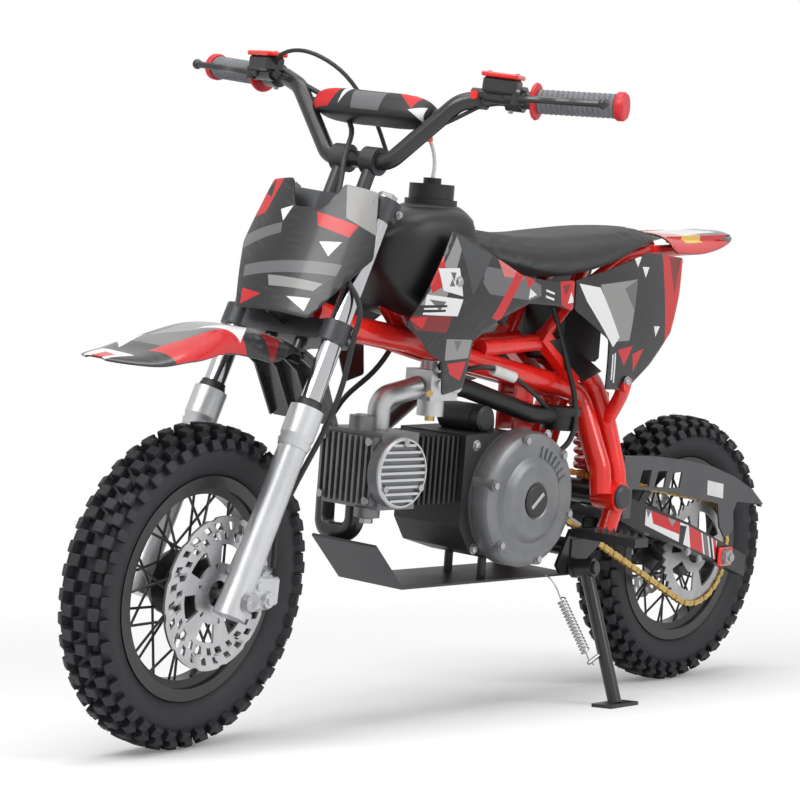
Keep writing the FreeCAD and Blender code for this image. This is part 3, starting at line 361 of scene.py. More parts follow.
def finishes() -> Materials:
    """The plain finishes by name of the record's slot."""
    table = (
        Finish("red_paint", (0.82, 0.018, 0.012), 0.26, Skin.ORANGE_PEEL, coat=0.5),
        Finish("black_paint", (0.018, 0.018, 0.02), 0.34, Skin.ORANGE_PEEL, coat=0.2),
        Finish("dark_metal", (0.05, 0.052, 0.056), 0.42, Skin.CAST, metallic=0.3),
        Finish("engine_black", (0.022, 0.022, 0.024), 0.46, Skin.CAST),
        Finish("engine_grey", (0.21, 0.215, 0.22), 0.40, Skin.CAST, metallic=0.6),
        Finish("bare_aluminium", (0.60, 0.61, 0.62), 0.38, Skin.CAST, metallic=0.75, drift=0.04),
        Finish("chrome", (0.62, 0.63, 0.65), 0.12, Skin.SMOOTH, metallic=1.0, drift=0.03),
        Brushed("bright_steel", (0.45, 0.45, 0.46), 0.36, Skin.SMOOTH, metallic=0.9),
        Finish("gold_chain", (0.60, 0.42, 0.15), 0.33, Skin.SMOOTH, metallic=0.9),
        Finish("black_plastic", (0.013, 0.013, 0.014), 0.3, Skin.ORANGE_PEEL, coat=0.2),
        Finish("matt_plastic", (0.010, 0.010, 0.011), 0.42, Skin.MOULDED),
        Finish("seat_vinyl", (0.025, 0.025, 0.027), 0.55, Skin.RUBBER),
        Finish("pad_cover", (0.02, 0.02, 0.022), 0.6, Skin.RUBBER),
        Finish("grip_rubber", (0.16, 0.165, 0.18), 0.6, Skin.RUBBER),
        Finish("hose_rubber", (0.012, 0.012, 0.013), 0.5, Skin.RUBBER),
        Finish("red_rubber", (0.62, 0.02, 0.03), 0.42, Skin.MOULDED),
        Finish("white_plastic", (0.72, 0.72, 0.70), 0.35, Skin.SMOOTH),
        Finish("guard_plastic", (0.075, 0.077, 0.082), 0.4, Skin.MOULDED),
        Brushed("disc_steel", (0.52, 0.52, 0.53), 0.33, Skin.SMOOTH, metallic=0.85),
        Finish("tyre_rubber", (0.014, 0.015, 0.018), 0.6, Skin.RUBBER, drift=0.2),
    )
    return {finish.name: finish.make() for finish in table}


def add_object(name: str, data: bpy.types.ID) -> bpy.types.Object:
    """New object of that name in the scene."""
    obj = bpy.data.objects.new(name, data)
    bpy.context.scene.collection.objects.link(obj)
    return obj


@dataclass(frozen=True)
class Studio:
    """White floor and backdrop, soft light, and the camera where the photographer stood."""

    camera_from_axle: Point = (3.0493, 2.2026, 0.2356)
    target_from_axle: Point = (0.58765, -0.02089, 0.22864)
    middle_from_axle: Point = (0.5, 0.0, 0.25)
    lens: float = 110.87
    sensor: float = 36.0
    floor_radius: float = 30.0
    floor_colour: Colour = (0.82, 0.82, 0.83)
    floor_glow: float = 0.16
    floor_fades: Pair = (0.7, 1.9)
    sky: float = 0.42
    mirror_share: float = 0.62

    def build(self) -> None:
        """Sets the whole stage."""
        bpy.context.scene.view_settings.view_transform = "Standard"
        self.floor()
        self.world()
        self.lamps()
        self.camera()

    def backdrop_rays(self, shader: Shader) -> Field:
        """1 for rays that see the backdrop straight or through glass, and less for those in a mirror."""
        path = shader.node("ShaderNodeLightPath")
        rays = ("Is Camera Ray", "Is Glossy Ray", "Is Transmission Ray")
        straight, mirrored, through = (Field(shader, path.outputs[ray]) for ray in rays)
        return straight.most(mirrored * self.mirror_share).most(through)

    def floor(self) -> None:
        """Round floor that keeps the shadow near the bike and turns to the backdrop's white away from it."""
        mesh = bpy.data.meshes.new("floor")
        bm = bmesh.new()
        bmesh.ops.create_circle(bm, cap_ends=True, segments=96, radius=self.floor_radius)
        bm.to_mesh(mesh)
        bm.free()
        shader = Shader.of_material("floor")
        seen = self.backdrop_rays(shader)
        diffuse = shader.node("ShaderNodeBsdfDiffuse", inputs={"Color": (*self.floor_colour, 1.0)})
        glow = shader.node("ShaderNodeEmission", inputs={"Strength": seen * self.floor_glow})
        both = shader.node("ShaderNodeAddShader", inputs={0: diffuse.outputs[0], 1: glow.outputs[0]})
        coords = shader.node("ShaderNodeTexCoord")
        reach = shader.node("ShaderNodeVectorMath", {"operation": "LENGTH"}, {0: coords.outputs["Object"]})
        near, far = self.floor_fades
        away = Field(shader, reach.outputs["Value"]).above((near + far) / 2, (far - near) / 2)
        white = shader.node("ShaderNodeEmission", inputs={"Color": (1.0, 1.0, 1.0, 1.0), "Strength": 1.0})
        inputs = {0: away * seen, 1: both.outputs[0], 2: white.outputs[0]}
        fade = shader.node("ShaderNodeMixShader", inputs=inputs)
        shader.feed(shader.tree.nodes["Material Output"].inputs["Surface"], fade.outputs[0])
        mesh.materials.append(shader.owner)
        add_object("floor", mesh)

    def world(self) -> None:
        """Plain white surroundings that light the object more softly than they look."""
        shader = Shader(bpy.data.worlds.new("studio"))
        bpy.context.scene.world = shader.owner
        background = shader.tree.nodes["Background"]
        seen = self.backdrop_rays(shader)
        shader.feed(background.inputs["Color"], (1.0, 1.0, 1.0, 1.0))
        shader.feed(background.inputs["Strength"], seen * (1.0 - self.sky) + self.sky)

    def aim(self, obj: bpy.types.Object, seat: Vector, target: Vector) -> None:
        """Puts a lamp or the camera on its seat and turns it to its target."""
        obj.location = seat
        obj.rotation_euler = (target - seat).to_track_quat("-Z", "Y").to_euler()

    def lamps(self) -> None:
        """Large soft lamps: one above, a key at the front left of the view and a low fill."""
        middle = place_of("rear_wheel_spin") + Vector(self.middle_from_axle)
        table = (
            ("top", (0.3, 0.4, 2.6), 2.2, 46.0),
            ("key", (2.4, 0.2, 1.9), 1.3, 40.0),
            ("side", (-0.6, 2.8, 1.5), 1.4, 34.0),
        )
        for name, offset, size, power in table:
            lamp = bpy.data.lights.new(name, "AREA")
            lamp.size = size
            lamp.energy = power
            self.aim(add_object(name, lamp), middle + Vector(offset), middle)

    def camera(self) -> None:
        """Camera at the photograph's angle, distance and lens."""
        axle = place_of("rear_wheel_spin")
        camera = bpy.data.cameras.new("camera")
        camera.lens = self.lens
        camera.sensor_width = self.sensor
        obj = add_object("camera", camera)
        self.aim(obj, axle + Vector(self.camera_from_axle), axle + Vector(self.target_from_axle))
        bpy.context.scene.camera = obj


class Piece:
    """A mesh in the making, in millimetres of a grid."""

    def __init__(self, name: str, grid: Grid = BIKE) -> None:
        """Starts an empty mesh."""
        self.name = name
        self.grid = grid
        self.bm = bmesh.new()

    def lathe(self, profile: Sequence[Pair], centre: Point, axis: Point, steps: int) -> list:
        """Turns a closed outline about an axis.

        Args:
            profile: Points as (along the axis, radius), in order round the outline.
            centre: Point on the axis.
            axis: Direction of the axis.
            steps: Facets round the turn.

        Returns:
            The new vertices.
        """
        along = Vector(axis).normalized()
        out = along.orthogonal().normalized()
        middle = Vector(centre)
        verts = [self.bm.verts.new(middle + along * a + out * r) for a, r in profile]
        edges = [self.bm.edges.new((verts[i], verts[(i + 1) % len(verts)])) for i in range(len(verts))]
        bmesh.ops.spin(
            self.bm, geom=verts + edges, cent=middle, axis=along, angle=2 * math.pi, steps=steps,
            use_merge=True,
        )
        return verts

    def rod(self, start: Point, end: Point, radius: float, tip: float | None = None, sides: int = 24) -> list:
        """Round or, with few sides, flat-sided bar.

        Args:
            start: Middle of its first end.
            end: Middle of its other end.
            radius: Its radius at the start.
            tip: Its radius at the end, where that differs.
            sides: Facets round it.

        Returns:
            Its vertices.
        """
        start, end = Vector(start), Vector(end)
        turn = (end - start).to_track_quat("Z", "Y").to_matrix().to_4x4()
        return bmesh.ops.create_cone(
            self.bm, cap_ends=True, segments=sides, radius1=radius, radius2=radius if tip is None else tip,
            depth=(end - start).length, matrix=Matrix.Translation((start + end) / 2) @ turn,
        )["verts"]

    def plate(self, corners: Sequence[Point], push: Point) -> None:
        """Flat outline pushed out to a thickness."""
        face = self.bm.faces.new([self.bm.verts.new(c) for c in corners])
        done = bmesh.ops.extrude_face_region(self.bm, geom=[face])
        moved = [g for g in done["geom"] if isinstance(g, bmesh.types.BMVert)]
        bmesh.ops.translate(self.bm, verts=moved, vec=push)

    def sheet(self, outline: Sequence[Pair], y: float, wall: float) -> None:
        """Plate that stands along the bike: its outline as (x, z), its face at y, its wall to the left."""
        self.plate([(x, y, z) for x, z in outline], (0, wall, 0))

    def bolt(self, seat: Point, out: Point, size: float = 5.0, height: float = 4.0) -> None:
        """Hexagon head on its washer.

        Args:
            seat: Point under the washer.
            out: Direction that the head looks in.
            size: Half width of the head.
            height: Height of the head.
        """
        seat, out = Vector(seat), Vector(out).normalized()
        self.rod(seat - out * 0.5, seat + out, size * 1.5, sides=20)
        self.rod(seat + out, seat + out * (1 + height * 0.8), size * 1.12, sides=6)
        self.rod(seat + out * (1 + height * 0.8), seat + out * (1 + height), size * 1.12, size * 0.8, sides=6)

    def tube(self, points: Sequence[Point], radius: float, rounds: int = 2) -> None:
        """Round tube on a smooth line through points."""
        curve = bpy.data.curves.new("line", "CURVE")
        curve.dimensions = "3D"
        curve.bevel_depth = radius
        curve.bevel_resolution = rounds
        curve.resolution_u = 8
        curve.use_fill_caps = True
        line = curve.splines.new("BEZIER")
        line.bezier_points.add(len(points) - 1)
        for knot, point in zip(line.bezier_points, points):
            knot.co = point
            knot.handle_left_type = knot.handle_right_type = "AUTO"
        holder = bpy.data.objects.new("line", curve)
        self.bm.from_mesh(holder.to_mesh())
        holder.to_mesh_clear()
        bpy.data.objects.remove(holder)
        bpy.data.curves.remove(curve)

    def coil(self, start: Point, end: Point, radius: float, wire: float, turns: int, steps: int = 18) -> None:
        """Coil spring between two points.

        Args:
            start: Middle of its first turn.
            end: Middle of its last turn.
            radius: From its axis to the middle of the wire.
            wire: Radius of the wire.
            turns: Whole turns.
            steps: Facets along each turn.
        """
        start, run = Vector(start), Vector(end) - Vector(start)
        along = run.normalized()
        out = along.orthogonal().normalized()
        facing = along.cross(out).to_track_quat("Z", "Y").to_matrix().to_4x4()
        ring = bmesh.ops.create_circle(
            self.bm, segments=8, radius=wire, matrix=Matrix.Translation(start + out * radius) @ facing
        )["verts"]
        edges = list({e for v in ring for e in v.link_edges})
        count = turns * steps
        bmesh.ops.spin(
            self.bm, geom=ring + edges, cent=start, axis=along, dvec=run / count,
            angle=2 * math.pi * turns, steps=count,
        )

    def block(self, size: Point, matrix: Matrix, chamfer: float = 0.0) -> list:
        """Box of that size with its edges taken off, placed by matrix.

        Args:
            size: Length along each of the block's own axes.
            matrix: Place of its middle.
            chamfer: Width of the rounding, or 0.

        Returns:
            Its vertices.
        """
        sized = matrix @ Matrix.Diagonal((*size, 1.0))
        verts = bmesh.ops.create_cube(self.bm, size=1.0, matrix=sized)["verts"]
        if chamfer:
            edges = list({e for v in verts for e in v.link_edges})
            done = bmesh.ops.bevel(
                self.bm, geom=edges, offset=chamfer, segments=1, profile=0.5, affect="EDGES", material=-1,
                offset_type="OFFSET",
            )
            verts = [v for v in done["verts"] if v.is_valid]
        return verts

    def wear(self, body: str, slot: str, materials: Materials) -> bpy.types.Object:
        """Makes the object in the finish that has its slot's name."""
        return self.finish(body, slot, materials[slot])

    def finish(
        self, body: str, slot: str, material: bpy.types.Material, smooth: float = 35.0,
        back: bpy.types.Material | None = None,
    ) -> bpy.types.Object:
        """Makes the object, puts it in its place and hangs it on its body.

        Args:
            body: Body that it moves with, or nothing for a piece that is hung on no body.
            slot: The record's material slot; not used.
            material: Its finish.
            smooth: Angle in degrees up to which neighbouring faces look like one surface.
            back: Finish of the faces marked with material number 1.

        Returns:
            The new object, at the origin, with its place in its mesh.
        """
        bmesh.ops.remove_doubles(self.bm, verts=self.bm.verts, dist=0.001)
        bmesh.ops.recalc_face_normals(self.bm, faces=self.bm.faces)
        self.bm.transform(self.grid.matrix)
        mesh = bpy.data.meshes.new(self.name)
        self.bm.to_mesh(mesh)
        self.bm.free()
        mesh.shade_smooth()
        mesh.set_sharp_from_angle(angle=math.radians(smooth))
        mesh.materials.append(material)
        if back:
            mesh.materials.append(back)
        obj = add_object(self.name, mesh)
        if body:
            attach(obj, body)
        LOG.info("%s: %d faces on %s", self.name, len(mesh.polygons), body)
        return obj


def fork_point(q: float, side: float = 0.0, ahead: float = 0.0) -> Vector:
    """Point in the fork's own grid: q up along the legs from the axle, ahead of the legs' plane."""
    return Vector((WHEELBASE / 2, side, AXLE_HEIGHT)) + LEG_AHEAD * ahead + LEG_UP * q


def axis_point(q: float, side: float = 0.0, ahead: float = 0.0) -> Vector:
    """Like fork_point, counted from the steering axis instead of the legs' plane."""
    return fork_point(q, side, ahead - FORK_OFFSET)


def smooth(rows: Sequence[Sequence[float]], at: float) -> list[float]:
    """Values between the rows of a table, on smooth curves through them.

    Args:
        rows: Rows whose first value is the place, in either order.
        at: Place to read.

    Returns:
        The other values there.
    """
    rows = sorted(rows, key=lambda row: row[0])
    i = max([j for j in range(len(rows) - 1) if rows[j][0] <= at], default=0)
    low, high = rows[i], rows[i + 1]
    before, after = rows[max(i - 1, 0)], rows[min(i + 2, len(rows) - 1)]
    span = high[0] - low[0]
    t = min(1.0, max(0.0, (at - low[0]) / span))
    values = []
    for column in range(1, len(low)):
        leave = (high[column] - before[column]) / (high[0] - before[0]) * span
        come = (after[column] - low[column]) / (after[0] - low[0]) * span
        values.append(
            (2 * t ** 3 - 3 * t ** 2 + 1) * low[column] + (t ** 3 - 2 * t ** 2 + t) * leave
            + (3 * t ** 2 - 2 * t ** 3) * high[column] + (t ** 3 - t ** 2) * come
        )
    return values


@dataclass(frozen=True)
class Drawing:
    """Flat sheet that a graphic is drawn on: where its nought lies and which way its two directions run."""

    grid: Grid
    origin: Vector
    right: Vector
    up: Vector

    def line(self, start: Pair, end: Pair) -> tuple[Vector, float]:
        """Straight line on the sheet as a direction and an offset: positive on its left."""
        run = Vector((end[0] - start[0], end[1] - start[1])).normalized()
        normal = self.right * -run.y + self.up * run.x
        return normal, -normal.dot(self.origin + self.right * start[0] + self.up * start[1])


@dataclass(frozen=True)
class Shard:
    """One flat patch of a graphic: its colour and corners."""

    colour: Colour
    corners: Outline

    def turned_left(self) -> Outline:
        """The corners in the order that keeps the inside on the left."""
        area = sum(
            a[0] * b[1] - b[0] * a[1] for a, b in zip(self.corners, self.corners[1:] + self.corners[:1])
        )
        return self.corners if area > 0 else self.corners[::-1]

    def mask(self, shader: Shader, place: bpy.types.NodeSocket, drawing: Drawing) -> Field:
        """1 inside the patch and 0 outside."""
        corners = self.turned_left()
        depth = None
        for start, end in zip(corners, corners[1:] + corners[:1]):
            normal, offset = drawing.line(start, end)
            node = shader.node("ShaderNodeVectorMath", {"operation": "DOT_PRODUCT"}, {0: place, 1: normal})
            edge = Field(shader, node.outputs["Value"]) + offset
            depth = edge if depth is None else depth.least(edge)
        return depth.above(0.0, 0.25)


@dataclass(frozen=True)
class Graphic(Finish):
    """Glossy plastic with a printed film of flat patches and a worn, scratched field."""

    drawing: Drawing | None = None
    shards: tuple[Shard, ...] = ()
    scratched: float = 0.0

    def dress(self, shader: Shader) -> None:
        """Adds the patches to the plain finish."""
        super().dress(shader)
        place = shader.place(self.drawing.grid)
        tone = self.colour
        if self.scratched:
            scratches = shader.noise(shader.place(self.drawing.grid, (0, 38, 0), (46.0, 46.0, 2.2)), 1.0, 3.0)
            tone = shader.mix(scratches.above(0.60, 0.03) * self.scratched, self.colour, PALE_GREY)
        for shard in self.shards:
            tone = shader.mix(shard.mask(shader, place, self.drawing), tone, shard.colour)
        shader.set(base_color=tone)


@dataclass
class Panel:
    """Thin moulded plastic: an outline on a flat sheet, bent by a rule, with a wall and rounded edges."""

    name: str
    body: str
    grid: Grid
    outline: Outline
    step: float = 8.0
    corner: float = 4.0
    wall: float = 3.0

    def place(self, u: float, v: float) -> Vector:
        """Point of the outer face for a point of the flat outline."""
        raise NotImplementedError

    def outward(self) -> Vector:
        """Direction that the outer face looks in."""
        raise NotImplementedError

    def flat(self, piece: Piece) -> None:
        """The outline as one face with rounded corners, cut into small fields."""
        bm = piece.bm
        bm.faces.new([bm.verts.new((u, 0, v)) for u, v in self.outline])
        bmesh.ops.bevel(
            bm, geom=bm.verts[:], offset=self.corner, segments=3, profile=0.5, affect="VERTICES", material=-1,
            offset_type="OFFSET",
        )
        for axis, direction in ((0, (1, 0, 0)), (2, (0, 0, 1))):
            low = min(v.co[axis] for v in bm.verts)
            high = max(v.co[axis] for v in bm.verts)
            for i in range(1, int((high - low) / self.step) + 1):
                middle = Vector(direction) * (low + i * self.step)
                bmesh.ops.bisect_plane(
                    bm, geom=bm.verts[:] + bm.edges[:] + bm.faces[:], plane_co=middle, plane_no=direction
                )

    def shape(self, piece: Piece) -> None:
        """Bends the flat outline, gives it its wall and rounds its rim."""
        bm = piece.bm
        self.flat(piece)
        for vert in bm.verts:
            vert.co = self.place(vert.co.x, vert.co.z)
        bm.normal_update()
        facing = sum((f.normal * f.calc_area() for f in bm.faces), Vector())
        if facing.dot(self.outward()) < 0:
            bmesh.ops.reverse_faces(bm, faces=bm.faces[:])
        bmesh.ops.solidify(bm, geom=bm.faces[:], thickness=self.wall)
        rim = [e for e in bm.edges if len(e.link_faces) == 2 and e.calc_face_angle(0.0) > 1.0]
        bmesh.ops.bevel(
            bm, geom=rim, offset=self.wall * 0.3, segments=2, profile=0.5, affect="EDGES", material=-1,
            offset_type="OFFSET",
        )

    def build(
        self, slot: str, printed: bpy.types.Material, plain: bpy.types.Material
    ) -> bpy.types.Object:
        """The panel as a piece of the bike, printed on its outer face alone."""
        piece = Piece(self.name, self.grid)
        self.shape(piece)
        piece.bm.normal_update()
        for face in piece.bm.faces:
            face.material_index = 0 if face.normal.dot(self.outward()) > 0.1 else 1
        count = len(piece.bm.faces)
        self.extras(piece)
        piece.bm.faces.ensure_lookup_table()
        for face in piece.bm.faces[count:]:
            face.material_index = 1
        return piece.finish(self.body, slot, printed, 40.0, plain)

    def extras(self, piece: Piece) -> None:
        """Ribs, bosses and flaps that belong to the panel."""


@dataclass
class SidePanel(Panel):
    """Panel at the bike's side, whose width changes along and up."""

    side: int = 1
    heights: tuple[float, ...] = ()
    rows: tuple[tuple[float, ...], ...] = ()

    def place(self, u: float, v: float) -> Vector:
        """Outer face at x, z."""
        widths = smooth(self.rows, u)
        return Vector((u, self.side * smooth(list(zip(self.heights, widths)), v)[0], v))

    def outward(self) -> Vector:
        """Away from the middle plane."""
        return Vector((0, self.side, 0))


@dataclass
class Shroud(SidePanel):
    """Tank side panel with the tongue that reaches down over the spar."""

    outline: Outline = (
        (158, 655), (230, 532), (204, 512), (190, 496), (166, 486), (154, 442), (116, 452), (113, 514),
        (60, 545), (0, 566), (-60, 564), (-97, 558), (-97, 600), (-50, 596), (20, 603), (84, 628), (120, 646),
    )
    heights: tuple[float, ...] = (430, 500, 560, 610, 665)
    rows: tuple[tuple[float, ...], ...] = (
        (236, 78, 82, 84, 82, 76), (190, 84, 92, 96, 92, 82), (140, 86, 97, 101, 98, 86),
        (60, 84, 94, 99, 97, 86), (-20, 82, 90, 95, 94, 86), (-100, 80, 88, 93, 92, 86),
    )
    boss: Pair = (150.0, 590.0)
    tank_half_width: float = 74.3

    def extras(self, piece: Piece) -> None:
        """Boss that holds the panel on the tank."""
        x, z = self.boss
        outer = self.place(x, z).y
        piece.rod((x, self.side * self.tank_half_width, z), (x, outer - self.side * 1.5, z), 8.0)


@dataclass
class NumberPanel(SidePanel):
    """Rear side panel with a blank number field."""

    outline: Outline = (
        (-100, 600), (-100, 560), (-180, 520), (-190, 450), (-238, 450), (-286, 486), (-332, 532),
        (-352, 590), (-362, 640), (-267, 645), (-160, 615),
    )
    heights: tuple[float, ...] = (440, 500, 560, 620, 655)
    rows: tuple[tuple[float, ...], ...] = (
        (-90, 84, 90, 93, 92, 90), (-180, 88, 95, 98, 96, 93), (-270, 86, 93, 95, 91, 86),
        (-370, 78, 84, 85, 80, 76),
    )


@dataclass
class FrontPlate(Panel):
    """Curved front plate, blank, with a notch between its two ears."""

    outline: Outline = (
        (0, 14), (58, 14), (80, 60), (104, 111), (97, 144), (84, 195), (42, 195), (20, 156), (-20, 156),
        (-42, 195), (-84, 195), (-97, 144), (-104, 111), (-80, 60), (-58, 14),
    )
    ahead: float = 66.0
    bend: float = 190.0
    peg_end: float = 1.5

    def place(self, u: float, v: float) -> Vector:
        """Outer face at side u and height v above the lower clamp, along the legs."""
        return axis_point(LOWER_CLAMP_Q + v, u, self.ahead - self.bend + math.sqrt(self.bend ** 2 - u ** 2))

    def outward(self) -> Vector:
        """Ahead of the fork."""
        return LEG_AHEAD

    def extras(self, piece: Piece) -> None:
        """Pegs from the clamps to the plate."""
        side = FORK_SPACING / 2
        back = self.place(side, 0) - axis_point(LOWER_CLAMP_Q, side)
        upper, lower = UPPER_CLAMP_Q + 13, LOWER_CLAMP_Q + 16
        for y in (-side, side):
            end = axis_point(upper, y, back.dot(LEG_AHEAD) - self.peg_end)
            piece.rod(fork_point(upper, y, 20.8), end, 5.0)
        piece.rod(axis_point(lower, 0, 27.3), axis_point(lower, 0, self.ahead - self.peg_end), 4.0)


@dataclass
class Tray(Panel):
    """Long arched panel: sections give its half width, the height of its crown and how far its sides drop."""

    sections: Sections = ()
    share: float = 100.0

    def crown(self, along: float, side: float, height: float) -> Vector:
        """Point at that place along the panel, to the side and up."""
        return Vector((along, side, height))

    def place(self, u: float, v: float) -> Vector:
        """Outer face at place u along and v hundredths of the half width."""
        half, top, drop = smooth(self.sections, u)
        across = v / self.share
        return self.crown(u, half * across, top - drop * abs(across) ** 4.5)

    def outward(self) -> Vector:
        """Up."""
        return UP


@dataclass
class FrontFender(Tray):
    """High front fender under the lower clamp, with its ribbed rear flap."""

    outline: Outline = ((4, -100), (300, -100), (300, 100), (4, 100))
    sections: Sections = (
        (300, 16, -157, 3), (284, 38, -148, 6), (250, 56, -128, 12), (215, 62, -101, 18), (196, 62, -87, 22),
        (150, 56, -52, 30), (97, 54, -29, 36), (56, 53, -19, 34), (30, 51, -15, 14), (4, 50, -14, 10),
    )

    def crown(self, along: float, side: float, height: float) -> Vector:
        """Point in the fork's grid, its height counted from the lower clamp."""
        return fork_point(LOWER_CLAMP_Q + height, side, along)

    def extras(self, piece: Piece) -> None:
        """Flap behind the fork, its ribs and the two bosses under the clamp."""
        flap = [(12, -17), (12, -21), (-30, -24), (-101, -75), (-104, -73), (-34, -20)]
        rib = [(10, -22), (-30, -25), (-98, -73), (-94, -78), (-28, -34), (10, -30)]
        piece.plate([fork_point(LOWER_CLAMP_Q + q, -52, a) for a, q in flap], Vector((0, 104, 0)))
        for y in (-52, -18, 15, 49):
            piece.plate([fork_point(LOWER_CLAMP_Q + q, y, a) for a, q in rib], Vector((0, 3, 0)))
        for y in (-24, 24):
            piece.rod(axis_point(LOWER_CLAMP_Q - 30, y, 12), axis_point(LOWER_CLAMP_Q - 0.3, y, 12), 8.0)


@dataclass
class Tail(Tray):
    """Tail behind the seat."""

    outline: Outline = ((-520, -100), (-335.3, -100), (-335.3, 100), (-520, 100))
    sections: Sections = (
        (-335.3, 86, 673, 26), (-400, 82, 674, 26), (-460, 72, 679, 22), (-500, 62, 682, 14),
        (-520, 52, 684, 10),
    )

    def extras(self, piece: Piece) -> None:
        """Two ribs under the tail."""
        rib = [(-345, 669), (-345, 660), (-440, 664), (-500, 677), (-500, 679)]
        for y in (-61, 58):
            piece.sheet(rib, y, 3)


@dataclass
class Moulding:
    """Closed body with soft edges that lies along x."""

    name: str
    body: str
    sections: Sections
    squareness: float = 6.0
    cuts: int = 22
    crown: float = 0.0
    grid: Grid = BIKE

    def shape(self, piece: Piece) -> None:
        """Rounds a fine cube and draws it out to the sections."""
        bm = piece.bm
        bmesh.ops.create_cube(bm, size=2.0)
        bmesh.ops.subdivide_edges(bm, edges=bm.edges[:], cuts=self.cuts, use_grid_fill=True)
        front = max(row[0] for row in self.sections)
        rear = min(row[0] for row in self.sections)
        for vert in bm.verts:
            power = sum(abs(c) ** self.squareness for c in vert.co) ** (1 / self.squareness)
            a, b, c = vert.co / power
            x = rear + (front - rear) * (a + 1) / 2
            half, low, high = smooth(self.sections, x)
            z = (low + high) / 2 + c * (high - low) / 2
            vert.co = Vector((x, b * half, z - (self.crown * b * b if c > 0 else 0.0)))

    def build(self, slot: str, material: bpy.types.Material) -> bpy.types.Object:
        """The body as a piece of the bike."""
        piece = Piece(self.name, self.grid)
        self.shape(piece)
        self.extras(piece)
        return piece.finish(self.body, slot, material, 50.0)

    def extras(self, piece: Piece) -> None:
        """Anything more that the body needs, such as its neck."""


@dataclass(frozen=True)
class KnobRow:
    """One ring of tread knobs: place across the tyre, tilt of its tops, and size of each knob."""

    across: float
    radius: float
    tilt: float
    length: float
    width: float
    height: float
    phase: float


@dataclass
class KnobbyTyre:
    """Off-road tyre: a smooth casing with rings of rubber knobs and moulding's thin hairs on them."""

    name: str
    body: str
    grid: Grid
    axle_x: float
    pitches: int = 42
    steps: int = 150
    knob_chamfer: float = 1.1
    hair_count: int = 260
    hair_lean: float = 0.5
    hair_lengths: Pair = (1.5, 3.6)
    bare_height: float = 30.0
    seed: int = 7
    rows: tuple[KnobRow, ...] = field(default_factory=lambda: (
        KnobRow(-9.5, 200.4, -4.0, 14.0, 16.0, 16.0, 0.0),
        KnobRow(10.5, 200.4, 5.0, 14.0, 15.0, 16.0, 0.5),
        KnobRow(-25.5, 194.5, -27.0, 15.0, 12.0, 15.0, 0.5),
        KnobRow(26.0, 194.0, 28.0, 15.0, 12.0, 15.0, 0.0),
        KnobRow(-34.6, 181.0, -62.0, 14.0, 13.0, 12.0, 0.0),
        KnobRow(34.6, 181.0, 62.0, 14.0, 13.0, 12.0, 0.5),
    ))

    def centre(self) -> Vector:
        """Middle of the axle on the grid."""
        return Vector((self.axle_x, 0, AXLE_HEIGHT))

    def casing_outline(self) -> list[Pair]:
        """Outline of the casing from bead to bead, as (across, radius): one side and its mirror."""
        side = [
            (17.7, 128.0), (17.7, 139.6), (21.0, 141.5), (25.0, 146.0), (28.8, 153.0), (30.6, 160.0),
            (30.8, 166.0), (29.6, 171.5), (27.0, 177.0), (22.5, 182.0), (16.0, 185.8), (8.0, 187.6),
            (0.0, 188.2),
        ]
        return side + [(-y, r) for y, r in side[-2::-1]]

    def build(self, material: bpy.types.Material) -> bpy.types.Object:
        """Casing, knobs and hairs as one piece."""
        piece = Piece(self.name, self.grid)
        piece.lathe(self.casing_outline(), self.centre(), (0, 1, 0), self.steps)
        for row in self.rows:
            self.ring(piece, row)
        self.hairs(piece)
        return piece.finish(self.body, "tyre_rubber", material, 40.0)

    def knob_place(self, row: KnobRow, turn: float) -> Matrix:
        """Place of a knob's middle on the casing, turned round the axle."""
        spin = Matrix.Translation(self.centre()) @ Matrix.Rotation(turn, 4, "Y")
        tilt = Matrix.Rotation(math.radians(-row.tilt), 4, "X")
        sit = Matrix.Translation((0, row.across, row.radius)) @ tilt
        return spin @ sit @ Matrix.Translation((0, 0, -row.height / 2))

    def ring(self, piece: Piece, row: KnobRow) -> None:
        """One ring of knobs."""
        for i in range(self.pitches):
            turn = 2 * math.pi * (i + row.phase) / self.pitches
            size = (row.length, row.width, row.height)
            piece.block(size, self.knob_place(row, turn), self.knob_chamfer)

    def hairs(self, piece: Piece) -> None:
        """Short thin hairs of rubber that stand on the knobs, but not where the tyre meets the floor."""
        chance = random.Random(self.seed)
        for _ in range(self.hair_count):
            row = chance.choice(self.rows)
            turn = 2 * math.pi * (chance.randrange(self.pitches) + row.phase) / self.pitches
            spot = self.knob_place(row, turn) @ Matrix.Translation(
                (chance.uniform(-5, 5), chance.uniform(-5, 5), row.height / 2)
            )
            ahead, aside = (chance.uniform(-self.hair_lean, self.hair_lean) for _ in range(2))
            lean = Matrix.Rotation(ahead, 4, "X") @ Matrix.Rotation(aside, 4, "Y")
            length = chance.uniform(*self.hair_lengths)
            if spot.translation.z < self.bare_height:
                continue
            bmesh.ops.create_cone(
                piece.bm, cap_ends=True, segments=3, radius1=0.35, radius2=0.12, depth=length,
                matrix=spot @ lean @ Matrix.Translation((0, 0, length / 2)),
            )


@dataclass
class Tank(Moulding):
    """Tank with a shoulder round its filler neck."""

    name: str = "tank_shell"
    body: str = "chassis"
    sections: Sections = (
        (238, 46, 590, 648), (190, 67, 550, 675), (142, 75, 536, 683), (100, 76, 530, 684),
        (72, 73, 530, 682),
    )
    squareness: float = 5.0
    neck: Point = (106.0, 0.0, 676.0)

    def extras(self, piece: Piece) -> None:
        """Shoulder and neck under the cap."""
        outline = [(-20, 0.1), (-20, 62), (-6, 58), (2, 50), (8, 42), (10, 38), (11, 35), (18, 35), (18, 0.1)]
        piece.lathe(outline, self.neck, (0, 0, 1), 48)


